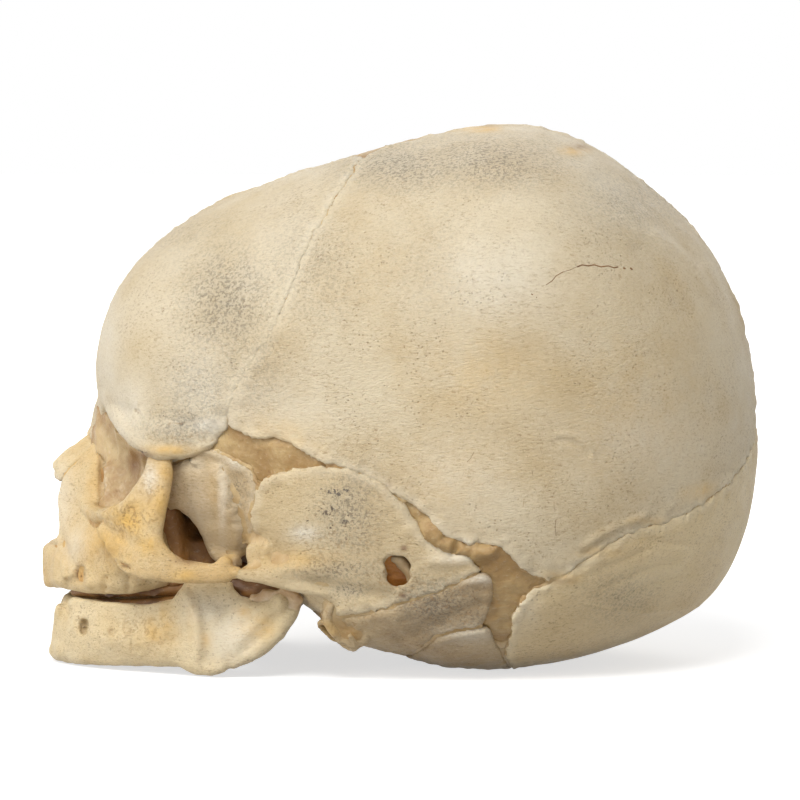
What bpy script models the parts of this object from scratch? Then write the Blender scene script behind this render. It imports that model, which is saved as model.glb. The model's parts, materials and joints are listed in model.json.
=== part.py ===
"""A term fetal skull, built bone by bone: the vault plates with their fontanelle membranes, the
bones of the base and face, and the two-part lower jaw that swings on its condyles.
Face towards -X, the skull's left side towards -Y, +Z up. It stands on z = 0."""

import math

import bmesh
import bpy
import numpy as np
from mathutils import Matrix, Vector, geometry

# The whole skull
SKULL_LENGTH = 0.1218
SKULL_WIDTH = 0.0910
SKULL_HEIGHT = 0.0915

# Bone plates, their edges and the gap that every suture keeps
PLATE_WALL = 0.0019
PLATE_EDGE = 0.0011
EDGE_FADE = 0.007
SUTURE_GAP = 0.0006
SUTURE_STEP = 0.0032
PLATE_FACET = 0.0060
SMALL_FACET = 0.0045

# The thicker bones of the base
PETROUS_WALL = 0.0070
CLIVUS_WALL = 0.0040

# Membranes that close the fontanelles, sunk a little below the bone
MEMBRANE_WALL = 0.0006
MEMBRANE_SINK = 0.0004
MEMBRANE_GAP = 0.0007

# How finely the skin is searched, its lines are drawn and its edges count as sharp
NORMAL_PROBE = 0.0005
WELD = 1e-7
SLIVER = 0.000005
TINY = 1e-9
HALVINGS = 34
SPLINE_STEPS = 12
SHARP_ANGLE = math.radians(50)


def material(name, colour, roughness):
    made = bpy.data.materials.new(name)
    made.use_nodes = True
    shader = made.node_tree.nodes["Principled BSDF"]
    shader.inputs["Base Color"].default_value = (*colour, 1)
    shader.inputs["Roughness"].default_value = roughness
    shader.inputs["Metallic"].default_value = 0
    return made


def clear_scene():
    for thing in list(bpy.data.objects):
        bpy.data.objects.remove(thing)


def place(x, y, z):
    """A point from shares of the skull's length (from the front), half breadth and height."""
    return np.array(((x - 0.5) * SKULL_LENGTH, y * SKULL_WIDTH / 2, z * SKULL_HEIGHT))


def places(shares, side):
    return np.array([place(x, side * y, z) for x, y, z in shares])


# The braincase is one smooth egg. Nine stations along it, evenly turned from the brow (0) to the
# back of the head (180 degrees), give its half breadth, the level of its greatest breadth, the
# height above that level and the depth below it, and how square the underside is.
FRONT_SHARE = 0.0754
BACK_SHARE = 1.0
WIDTH_SHARES = np.array((1.20, 1.206, 0.985, 0.925, 0.960, 1.075, 1.175, 1.235, 1.25))
LEVEL_SHARES = np.array((0.530, 0.530, 0.540, 0.560, 0.600, 0.620, 0.585, 0.510, 0.431))
CROWN_SHARES = np.array((0.46, 0.436, 0.403, 0.3756, 0.377, 0.395, 0.390, 0.439, 0.47))
FLOOR_SHARES = np.array((0.50, 0.277, 0.2905, 0.456, 0.592, 0.668, 0.738, 0.865, 0.90))
FLOOR_POWERS = np.array((3.4, 3.4, 3.6, 4.2, 3.4, 2.9, 2.4, 2.1, 2.0))
CROWN_POWER = 2.15
CENTRE_SHARES = (0.5377, 0, 0.50)
CENTRE = place(*CENTRE_SHARES)

# Low swells and hollows on the egg: where, how far they spread and how high they stand
BOSS_SHARES = (0.120, 0.48, 0.62)
BOSS_SPREAD = 0.013
BOSS_HEIGHT = 0.0012
EMINENCE_SHARES = (0.665, 0.97, 0.72)
EMINENCE_SPREAD = 0.016
EMINENCE_HEIGHT = 0.0012
ORBIT_ROOF_SHARES = (0.160, 0.40, 0.41)
ORBIT_ROOF_SPREAD = 0.0095
ORBIT_ROOF_RISE = -0.0040
BROW_CORNER_SHARES = (0.165, 0.66, 0.415)
BROW_CORNER_SPREAD = 0.0065
BROW_CORNER_HEIGHT = 0.0030
TEMPLE_SHARES = (0.262, 0.74, 0.36)
TEMPLE_SPREAD = 0.010
TEMPLE_HOLLOW = -0.0016
DRUM_SHARES = (0.460, 0.64, 0.10)
DRUM_SPREAD = 0.0080
DRUM_SWELL = 0.0022
RELIEFS = (
    (BOSS_SHARES, BOSS_SPREAD, BOSS_HEIGHT),
    (EMINENCE_SHARES, EMINENCE_SPREAD, EMINENCE_HEIGHT),
    (ORBIT_ROOF_SHARES, ORBIT_ROOF_SPREAD, ORBIT_ROOF_RISE),
    (BROW_CORNER_SHARES, BROW_CORNER_SPREAD, BROW_CORNER_HEIGHT),
    (TEMPLE_SHARES, TEMPLE_SPREAD, TEMPLE_HOLLOW),
    (DRUM_SHARES, DRUM_SPREAD, DRUM_SWELL),
)


def between(a, b, c, d, share):
    """The point a share of the way from b to c, on a curve that runs through all four."""
    return b + share / 2 * (c - a + share * (2 * a - 5 * b + 4 * c - d + share * (3 * (b - c) + d - a)))


def along(table, turn):
    """A smooth curve through the stations, level at both ends."""
    last = len(table) - 1
    where = np.clip(turn / math.pi * last, 0, last - TINY)
    start = where.astype(int)

    def station(index):
        return table[np.abs(np.where(index > last, 2 * last - index, index))]

    return between(*(station(start + k) for k in (-1, 0, 1, 2)), where - start)


def fullness(points):
    """Below zero inside the egg, zero on it."""
    x = points[:, 0] / SKULL_LENGTH + 0.5
    y = np.abs(points[:, 1]) / (SKULL_WIDTH / 2)
    z = points[:, 2] / SKULL_HEIGHT
    half_share = (BACK_SHARE - FRONT_SHARE) / 2
    reach = (FRONT_SHARE + half_share - x) / half_share
    turn = np.arccos(np.clip(reach, -1, 1))
    level = along(LEVEL_SHARES, turn)
    above = z > level
    power = np.where(above, CROWN_POWER, along(FLOOR_POWERS, turn))
    depth = np.where(above, along(CROWN_SHARES, turn), along(FLOOR_SHARES, turn))
    breadth = along(WIDTH_SHARES, turn)
    return ((y / breadth) ** power + (np.abs(z - level) / depth) ** power) ** (2 / power) + reach**2 - 1


def unit(vectors):
    return vectors / np.linalg.norm(vectors, axis=-1, keepdims=True)


def egg(points):
    """The points moved along their rays from the centre on to the egg."""
    rays = unit(points - CENTRE)
    near = np.zeros(len(points))
    far = np.full(len(points), SKULL_LENGTH)
    for _ in range(HALVINGS):
        middle = (near + far) / 2
        inside = fullness(CENTRE + rays * middle[:, None]) < 0
        near = np.where(inside, middle, near)
        far = np.where(inside, far, middle)
    return CENTRE + rays * near[:, None]


def outward(points):
    """Unit normals of the egg."""
    probes = NORMAL_PROBE * np.eye(3)
    slopes = [fullness(points + probe) - fullness(points - probe) for probe in probes]
    return unit(np.stack(slopes, axis=1))


def skin(points):
    """The outer face of the braincase: the egg with its swells and hollows."""
    base = egg(points)
    rise = np.zeros(len(base))
    for shares, spread, height in RELIEFS:
        for side in (-1, 1):
            spot = egg(places([shares], side))[0]
            rise += height * np.exp(-np.sum((base - spot) ** 2, axis=1) / spread**2)
    return base + outward(base) * rise[:, None]


def smooth_line(points, step):
    """Points a step apart along a smooth curve through the given points."""
    padded = np.vstack([2 * points[0] - points[1], points, 2 * points[-1] - points[-2]])
    fine = []
    for a, b, c, d in zip(padded, padded[1:], padded[2:], padded[3:]):
        fine += [between(a, b, c, d, k / SPLINE_STEPS) for k in range(SPLINE_STEPS)]
    fine = np.array(fine + [points[-1]])
    travel = np.concatenate([[0], np.cumsum(np.linalg.norm(np.diff(fine, axis=0), axis=1))])
    count = max(2, round(travel[-1] / step) + 1)
    stops = np.linspace(0, travel[-1], count)
    return np.stack([np.interp(stops, travel, fine[:, k]) for k in range(3)], axis=1)


# Where the bones of one side meet, in shares of length, half breadth and height
SPOT_SHARES = {
    "nasion": (0.078, 0.0, 0.432),
    "brow_middle": (0.122, 0.0, 0.397),
    "brow_notch": (0.125, 0.115, 0.40),
    "roof_corner": (0.214, 0.13, 0.34),
    "brow_end": (0.235, 0.70, 0.424),
    "pterion": (0.281, 0.775, 0.475),
    "bregma_front": (0.395, 0.0, 0.95),
    "bregma_side": (0.455, 0.24, 0.94),
    "bregma_back": (0.63, 0.0, 0.99),
    "lambda_top": (0.984, 0.0, 0.53),
    "lambda_side": (0.99, 0.13, 0.445),
    "lambda_low": (0.998, 0.0, 0.395),
    "wing_tip": (0.323, 0.80, 0.356),
    "squama_front": (0.44, 0.893, 0.398),
    "squama_back": (0.516, 0.914, 0.343),
    "mastoid_top": (0.632, 0.904, 0.213),
    "mastoid_low": (0.63, 0.775, 0.104),
    "nape_top": (0.652, 0.596, 0.039),
    "asterion": (0.722, 0.838, 0.193),
    "petrous_front": (0.388, 0.48, 0.135),
    "petrous_tip": (0.412, 0.225, 0.10),
    "jugular": (0.505, 0.285, 0.03),
    "opisthion_side": (0.672, 0.12, 0.0),
    "opisthion": (0.679, 0.0, 0.0),
    "basion_side": (0.515, 0.165, 0.02),
    "basion": (0.507, 0.0, 0.02),
    "clivus_side": (0.415, 0.16, 0.09),
    "clivus": (0.412, 0.0, 0.09),
    "wing_root": (0.294, 0.165, 0.225),
    "lesser_root": (0.288, 0.13, 0.235),
    "lesser_tip": (0.226, 0.46, 0.36),
    "planum_side": (0.222, 0.13, 0.33),
    "planum": (0.222, 0.0, 0.33),
}

# The line along each joint or free edge of one side, from spot to spot. The two pieces that meet
# there share it.
LINE_SHARES = {
    "metopic": ("bregma_front", (0.25, 0, 0.86), (0.14, 0, 0.72), (0.085, 0, 0.58), "nasion"),
    "nasal_root": ("nasion", (0.098, 0.0, 0.41), "brow_middle"),
    "nasal_notch": ("brow_middle", "brow_notch"),
    "plate_edge": ("brow_notch", (0.17, 0.13, 0.365), "roof_corner"),
    "roof_back": ("roof_corner", (0.2095, 0.36, 0.365), (0.215, 0.47, 0.375), (0.222, 0.60, 0.392),
                  "brow_end"),
    "pterion_front": ("brow_end", (0.263, 0.745, 0.437), "pterion"),
    "coronal": ("pterion", (0.302, 0.802, 0.549), (0.327, 0.821, 0.598), (0.35, 0.821, 0.65),
                (0.376, 0.76, 0.744), (0.387, 0.72, 0.779), (0.394, 0.67, 0.81),
                (0.411, 0.618, 0.841), (0.442, 0.435, 0.907), "bregma_side"),
    "bregma_edge": ("bregma_side", (0.415, 0.11, 0.95), "bregma_front"),
    "bregma_rear": ("bregma_side", (0.52, 0.13, 0.97), "bregma_back"),
    "sagittal": ("bregma_back", (0.74, 0, 0.96), (0.86, 0, 0.86), (0.95, 0, 0.70), "lambda_top"),
    "lambda_edge": ("lambda_top", "lambda_side"),
    "lambda_base": ("lambda_side", "lambda_low"),
    "mastoid_roof": ("asterion", (0.695, 0.855, 0.20), (0.671, 0.885, 0.224), (0.661, 0.91, 0.25),
                     (0.642, 0.911, 0.26), (0.612, 0.905, 0.267), (0.58, 0.897, 0.273),
                     (0.566, 0.907, 0.292), (0.551, 0.917, 0.316), (0.533, 0.919, 0.336), "squama_back"),
    "squamous": ("squama_back", (0.496, 0.913, 0.367), (0.471, 0.906, 0.382), "squama_front"),
    "pterion_roof": ("squama_front", (0.41, 0.874, 0.408), (0.39, 0.862, 0.422), (0.378, 0.859, 0.438),
                     (0.345, 0.834, 0.443), (0.318, 0.809, 0.441), (0.297, 0.787, 0.449), "pterion"),
    "pterion_rear": ("squama_front", (0.411, 0.875, 0.393), (0.388, 0.858, 0.391), (0.368, 0.839, 0.386),
                     (0.344, 0.816, 0.379), (0.33, 0.796, 0.37), "wing_tip"),
    "pterion_floor": ("wing_tip", (0.314, 0.786, 0.386), (0.297, 0.772, 0.398), (0.272, 0.747, 0.411),
                      "brow_end"),
    "mastoid_front": ("squama_back", (0.534, 0.93, 0.302), (0.549, 0.925, 0.273), (0.566, 0.922, 0.251),
                      (0.587, 0.922, 0.243), (0.609, 0.925, 0.241), (0.625, 0.922, 0.232), "mastoid_top"),
    "mastoid_floor": ("mastoid_top", (0.644, 0.891, 0.196), (0.645, 0.869, 0.175),
                      (0.641, 0.837, 0.147), (0.635, 0.803, 0.121), "mastoid_low"),
    "condylar_edge": ("mastoid_low", (0.642, 0.715, 0.077), "nape_top"),
    "mastoid_rear": ("nape_top", (0.661, 0.708, 0.08), (0.666, 0.782, 0.115), (0.673, 0.823, 0.143),
                     (0.684, 0.847, 0.166), (0.699, 0.849, 0.178), "asterion"),
    "lambdoid": ("lambda_side", (0.978, 0.348, 0.379), (0.957, 0.464, 0.349), (0.931, 0.569, 0.325),
                 (0.904, 0.648, 0.304), (0.879, 0.706, 0.29), (0.841, 0.779, 0.279),
                 (0.803, 0.825, 0.261), (0.775, 0.836, 0.233), (0.747, 0.84, 0.211), "asterion"),
    "squama_base": ("mastoid_top", (0.603, 0.886, 0.192), (0.562, 0.856, 0.168), (0.523, 0.822, 0.15),
                    (0.492, 0.785, 0.138), (0.462, 0.735, 0.138), (0.43, 0.67, 0.138),
                    (0.405, 0.58, 0.136), "petrous_front"),
    "squama_wing": ("petrous_front", (0.345, 0.50, 0.165), (0.318, 0.58, 0.205),
                    (0.31, 0.66, 0.245), (0.313, 0.745, 0.30), "wing_tip"),
    "petrous_wing": ("petrous_front", (0.40, 0.36, 0.118), "petrous_tip"),
    "petrous_edge": ("petrous_tip", (0.455, 0.255, 0.06), "jugular"),
    "jugular_edge": ("jugular", (0.515, 0.43, 0.035), (0.532, 0.58, 0.052), (0.561, 0.72, 0.082),
                     (0.59, 0.757, 0.094), "mastoid_low"),
    "nape": ("nape_top", (0.662, 0.40, 0.01), (0.668, 0.25, 0), "opisthion_side"),
    "magnum_rear": ("opisthion_side", "opisthion"),
    "magnum_side": ("opisthion_side", (0.64, 0.195, 0), (0.59, 0.21, 0), (0.545, 0.195, 0), "basion_side"),
    "magnum_front": ("basion", "basion_side"),
    "basion_joint": ("basion_side", "jugular"),
    "clivus_edge": ("jugular", (0.45, 0.20, 0.06), "clivus_side"),
    "clivus_joint": ("clivus_side", "clivus"),
    "wing_edge": ("petrous_tip", (0.36, 0.175, 0.15), (0.315, 0.163, 0.20), "wing_root"),
    "wing_orbit": ("wing_root", (0.271, 0.26, 0.268), (0.249, 0.39, 0.315), (0.234, 0.53, 0.362),
                   "brow_end"),
    "body_edge": ("clivus_side", (0.36, 0.14, 0.15), (0.315, 0.13, 0.20), "lesser_root"),
    "lesser_rear": ("lesser_root", (0.262, 0.22, 0.28), (0.24, 0.34, 0.325), "lesser_tip"),
    "lesser_front": ("lesser_tip", (0.2165, 0.36, 0.365), (0.217, 0.24, 0.345), "planum_side"),
    "planum_edge": ("planum_side", "planum"),
}


def suture_lines(side):
    """Every line of one side, sampled once so that the two pieces along it keep an even gap."""
    lines = {}
    for name, shares in LINE_SHARES.items():
        spots = [SPOT_SHARES[spot] if isinstance(spot, str) else spot for spot in shares]
        lines[name] = skin(smooth_line(places(spots, side), SUTURE_STEP))
    return lines


def chain(lines, *names):
    """Lines joined end to end. A name with a leading minus runs backwards."""
    parts = []
    for name in names:
        points = lines[name.lstrip("-")]
        points = points[::-1] if name.startswith("-") else points
        parts.append(points[:-1])
    return np.vstack(parts + [points[-1:]])


def closed(lines, *names):
    return chain(lines, *names)[:-1]


def mirrored(outline):
    return outline * np.array((1, -1, 1))


def both_sides(half):
    """The closed outline of a bone on the midline, from its half that starts and ends there."""
    other = mirrored(half)[::-1]
    return np.vstack([half, other[1:-1]])


# A corner's inset grows with its sharpness, down to this squareness
LEAST_SQUARENESS = 0.6


def inset(outline, gap):
    """The closed outline drawn in by half the gap, along the skin."""
    normals = outward(outline)
    ahead = unit(np.roll(outline, -1, axis=0) - outline)
    behind = np.roll(ahead, 1, axis=0)
    inward_ahead = unit(np.cross(normals, ahead))
    inward_behind = unit(np.cross(normals, behind))
    middle = unit(inward_ahead + inward_behind)
    squareness = np.maximum(np.sum(middle * inward_ahead, axis=1), LEAST_SQUARENESS)
    return outline + middle * (gap / 2 / squareness)[:, None]


class Chart:
    """A flat map of the skin around the middle of an outline, true to scale from its centre."""

    def __init__(self, outline):
        rays = outline - CENTRE
        self.scale = np.mean(np.linalg.norm(rays, axis=1))
        self.pole = unit(np.mean(unit(rays), axis=0))
        self.east = unit(np.cross(np.eye(3)[np.argmin(np.abs(self.pole))], self.pole))
        self.north = np.cross(self.pole, self.east)

    def flat(self, points):
        rays = unit(points - CENTRE)
        angle = np.arccos(np.clip(rays @ self.pole, -1, 1))
        across = np.stack([rays @ self.east, rays @ self.north], axis=1)
        length = np.linalg.norm(across, axis=1, keepdims=True) + TINY
        return across / length * angle[:, None] * self.scale

    def raised(self, flat):
        length = np.linalg.norm(flat, axis=1) + TINY
        angle = length / self.scale
        sideways = (flat[:, :1] * self.east + flat[:, 1:] * self.north) / length[:, None]
        rays = np.cos(angle)[:, None] * self.pole + np.sin(angle)[:, None] * sideways
        return skin(CENTRE + rays * self.scale)


def turned_left(flat):
    """True if the flat outline runs anticlockwise."""
    ahead = np.roll(flat, -1, axis=0)
    return np.sum(flat[:, 0] * ahead[:, 1] - flat[:, 1] * ahead[:, 0]) > 0


def inside(flat, ring):
    """Which flat points lie inside the closed ring."""
    within = np.zeros(len(flat), bool)
    for a, b in zip(ring, np.roll(ring, -1, axis=0)):
        crosses = (a[1] > flat[:, 1]) != (b[1] > flat[:, 1])
        rise = b[1] - a[1] if b[1] != a[1] else 1
        within ^= crosses & (flat[:, 0] < (b[0] - a[0]) * (flat[:, 1] - a[1]) / rise + a[0])
    return within


def nearest(points, others):
    """Distance from each point to the nearest of the others."""
    return np.min(np.linalg.norm(points[:, None] - others[None], axis=2), axis=1)


def honeycomb(low, high, facet):
    """Evenly spread flat points, in staggered rows."""
    row = facet * math.sqrt(3) / 2
    found = []
    for index, y in enumerate(np.arange(low[1], high[1], row)):
        offset = facet / 2 * (index % 2)
        found += [(x + offset, y) for x in np.arange(low[0], high[0], facet)]
    return np.array(found)


def fade(distance, width):
    share = np.clip(distance / width, 0, 1)
    return share * share * (3 - 2 * share)


def solid_from(name, outer, inner, triangles, rim, look):
    """A closed plate between two skins that share their triangles and meet along the rim."""
    mesh = bpy.data.meshes.new(name)
    count = len(outer)
    faces = [tuple(t) for t in triangles]
    faces += [tuple(count + k for k in reversed(t)) for t in triangles]
    for a, b in zip(rim, rim[1:] + rim[:1]):
        faces += [(a, count + a, count + b), (a, count + b, b)]
    mesh.from_pydata(np.vstack([outer, inner]).tolist(), [], faces)
    shell = bmesh.new()
    shell.from_mesh(mesh)
    bmesh.ops.recalc_face_normals(shell, faces=shell.faces)
    shell.to_mesh(mesh)
    shell.free()
    return add_piece(name, mesh, look)


def add_piece(name, mesh, look):
    piece = bpy.data.objects.new(name, mesh)
    bpy.context.scene.collection.objects.link(piece)
    mesh.materials.clear()
    mesh.materials.append(look)
    mesh.shade_smooth()
    mesh.set_sharp_from_angle(angle=SHARP_ANGLE)
    return piece


def plate(name, outline, look, facet=PLATE_FACET, gap=SUTURE_GAP, wall=PLATE_WALL, edge=PLATE_EDGE, sink=0):
    """A plate of the braincase inside an outline. Its wall grows from the edge inwards."""
    chart = Chart(outline)
    if not turned_left(chart.flat(outline)):
        outline = outline[::-1]
    outline = inset(outline, gap)
    ring = chart.flat(outline)
    grid = honeycomb(ring.min(axis=0), ring.max(axis=0), facet)
    grid = grid[inside(grid, ring)]
    grid = grid[nearest(grid, ring) > facet / 2]
    edges = [(k, (k + 1) % len(ring)) for k in range(len(ring))]
    points = [Vector(p) for p in np.vstack([ring, grid])]
    made = geometry.delaunay_2d_cdt(points, edges, [], 1, WELD)
    spots = chart.raised(np.array([tuple(p) for p in made[0]]))
    triangles = [tuple(t) for t in made[2]]
    source = [min(old) for old in made[3]]
    rim = [source.index(k) for k in range(len(ring))]
    spots[rim] = outline
    normals = outward(spots)
    thick = edge + (wall - edge) * fade(nearest(spots, outline), EDGE_FADE)
    outer = spots - normals * sink
    inner = outer - normals * thick[:, None]
    outer[:, 2] = np.maximum(outer[:, 2], 0)
    return solid_from(name, outer, inner, triangles, rim, look)


# The face stands before and under the egg, in a box that follows the skull: from the tip of the
# upper jaw back past the jaw joints, out to the cheekbones' arches, and up to the brows.
FACE_DEPTH_SHARE = 0.4105
FACE_WIDTH_SHARE = 0.7473
FACE_HEIGHT_SHARE = 0.5246
FACE_DEPTH = FACE_DEPTH_SHARE * SKULL_LENGTH
FACE_HALF_WIDTH = FACE_WIDTH_SHARE * SKULL_WIDTH / 2
FACE_HEIGHT = FACE_HEIGHT_SHARE * SKULL_HEIGHT

# Roundness of the facial bones: bodies, struts, plates and the thinnest leaves
BODY_ROUND = 0.0013
STRUT_ROUND = 0.0012
PLATE_ROUND = 0.0008
LEAF_ROUND = 0.0005
FACE_VOXEL = 0.0005
FACE_SMOOTHING = 4
SMOOTH_FACTOR = 0.5
BONE_GAP = 0.0004


def face(x, y, z, side):
    return Vector((x * FACE_DEPTH - SKULL_LENGTH / 2, side * y * FACE_HALF_WIDTH, z * FACE_HEIGHT))


def join_hulls(name, hulls, side, growth=0.0):
    """One mesh of convex lumps. Each is (roundness, places in shares of the face), and growth
    swells them all. A side of 0 makes the lumps on both sides."""
    shape = bmesh.new()
    for round_size, spots in hulls:
        for hand in (-1, 1) if side == 0 else (side,):
            lump = bmesh.new()
            for spot in spots:
                ball = bmesh.ops.create_icosphere(lump, subdivisions=1, radius=round_size + growth)
                bmesh.ops.translate(lump, verts=ball["verts"], vec=face(*spot, hand))
            made = bmesh.ops.convex_hull(lump, input=lump.verts)
            spare = set(made["geom_interior"] + made["geom_unused"])
            bmesh.ops.delete(lump, geom=[v for v in spare if isinstance(v, bmesh.types.BMVert)],
                             context="VERTS")
            bmesh.ops.recalc_face_normals(lump, faces=lump.faces)
            part = bpy.data.meshes.new(name)
            lump.to_mesh(part)
            lump.free()
            shape.from_mesh(part)
            bpy.data.meshes.remove(part)
    mesh = bpy.data.meshes.new(name)
    shape.to_mesh(mesh)
    shape.free()
    return mesh


def cutter_object(name, mesh):
    cutter = bpy.data.objects.new(name, mesh)
    bpy.context.scene.collection.objects.link(cutter)
    return cutter


def apply_modifiers(piece):
    """The piece's mesh as its modifiers shape it."""
    graph = bpy.context.evaluated_depsgraph_get()
    mesh = bpy.data.meshes.new_from_object(piece.evaluated_get(graph))
    piece.modifiers.clear()
    piece.data = mesh
    return piece


def cut(piece, cutters, operation="DIFFERENCE"):
    for cutter in cutters:
        change = piece.modifiers.new(operation.title(), "BOOLEAN")
        change.operation = operation
        change.object = cutter
        change.solver = "EXACT"
    return apply_modifiers(piece)


def merge(piece):
    """Closes a piece made of overlapping lumps, or a carved one, as one clean skin."""
    remesh = piece.modifiers.new("Remesh", "REMESH")
    remesh.mode = "VOXEL"
    remesh.voxel_size = FACE_VOXEL
    return apply_modifiers(piece)


def soften(piece):
    """Joins the lumps of a bone into one softly rounded body."""
    merge(piece)
    smooth = piece.modifiers.new("Smooth", "SMOOTH")
    smooth.factor = SMOOTH_FACTOR
    smooth.iterations = FACE_SMOOTHING
    return apply_modifiers(piece)


def drop_crumbs(shape):
    """Keeps only the largest of the shape's separate bodies."""
    bodies = []
    rest = set(shape.verts)
    while rest:
        body = {rest.pop()}
        edge = list(body)
        while edge:
            for link in edge.pop().link_edges:
                for vertex in link.verts:
                    if vertex in rest:
                        rest.discard(vertex)
                        body.add(vertex)
                        edge.append(vertex)
        bodies.append(body)
    bodies.sort(key=len)
    for body in bodies[:-1]:
        bmesh.ops.delete(shape, geom=list(body), context="VERTS")


def settle(piece, count):
    """Closes a carved bone again, as one body with about the given number of facets."""
    merge(piece)
    shape = bmesh.new()
    shape.from_mesh(piece.data)
    drop_crumbs(shape)
    shape.to_mesh(piece.data)
    shape.free()
    reduce = piece.modifiers.new("Decimate", "DECIMATE")
    reduce.ratio = count / (2 * len(piece.data.polygons))
    return apply_modifiers(piece)


def egg_solid(name, offset):
    """The whole braincase as a closed solid, its skin moved outwards by the offset."""
    shape = bmesh.new()
    bmesh.ops.create_icosphere(shape, subdivisions=5, radius=1)
    rays = np.array([v.co[:] for v in shape.verts])
    points = skin(CENTRE + rays * SKULL_HEIGHT / 2)
    points += outward(points) * offset
    for vertex, point in zip(shape.verts, points):
        vertex.co = point
    mesh = bpy.data.meshes.new(name)
    shape.to_mesh(mesh)
    shape.free()
    return cutter_object(name, mesh)


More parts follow.
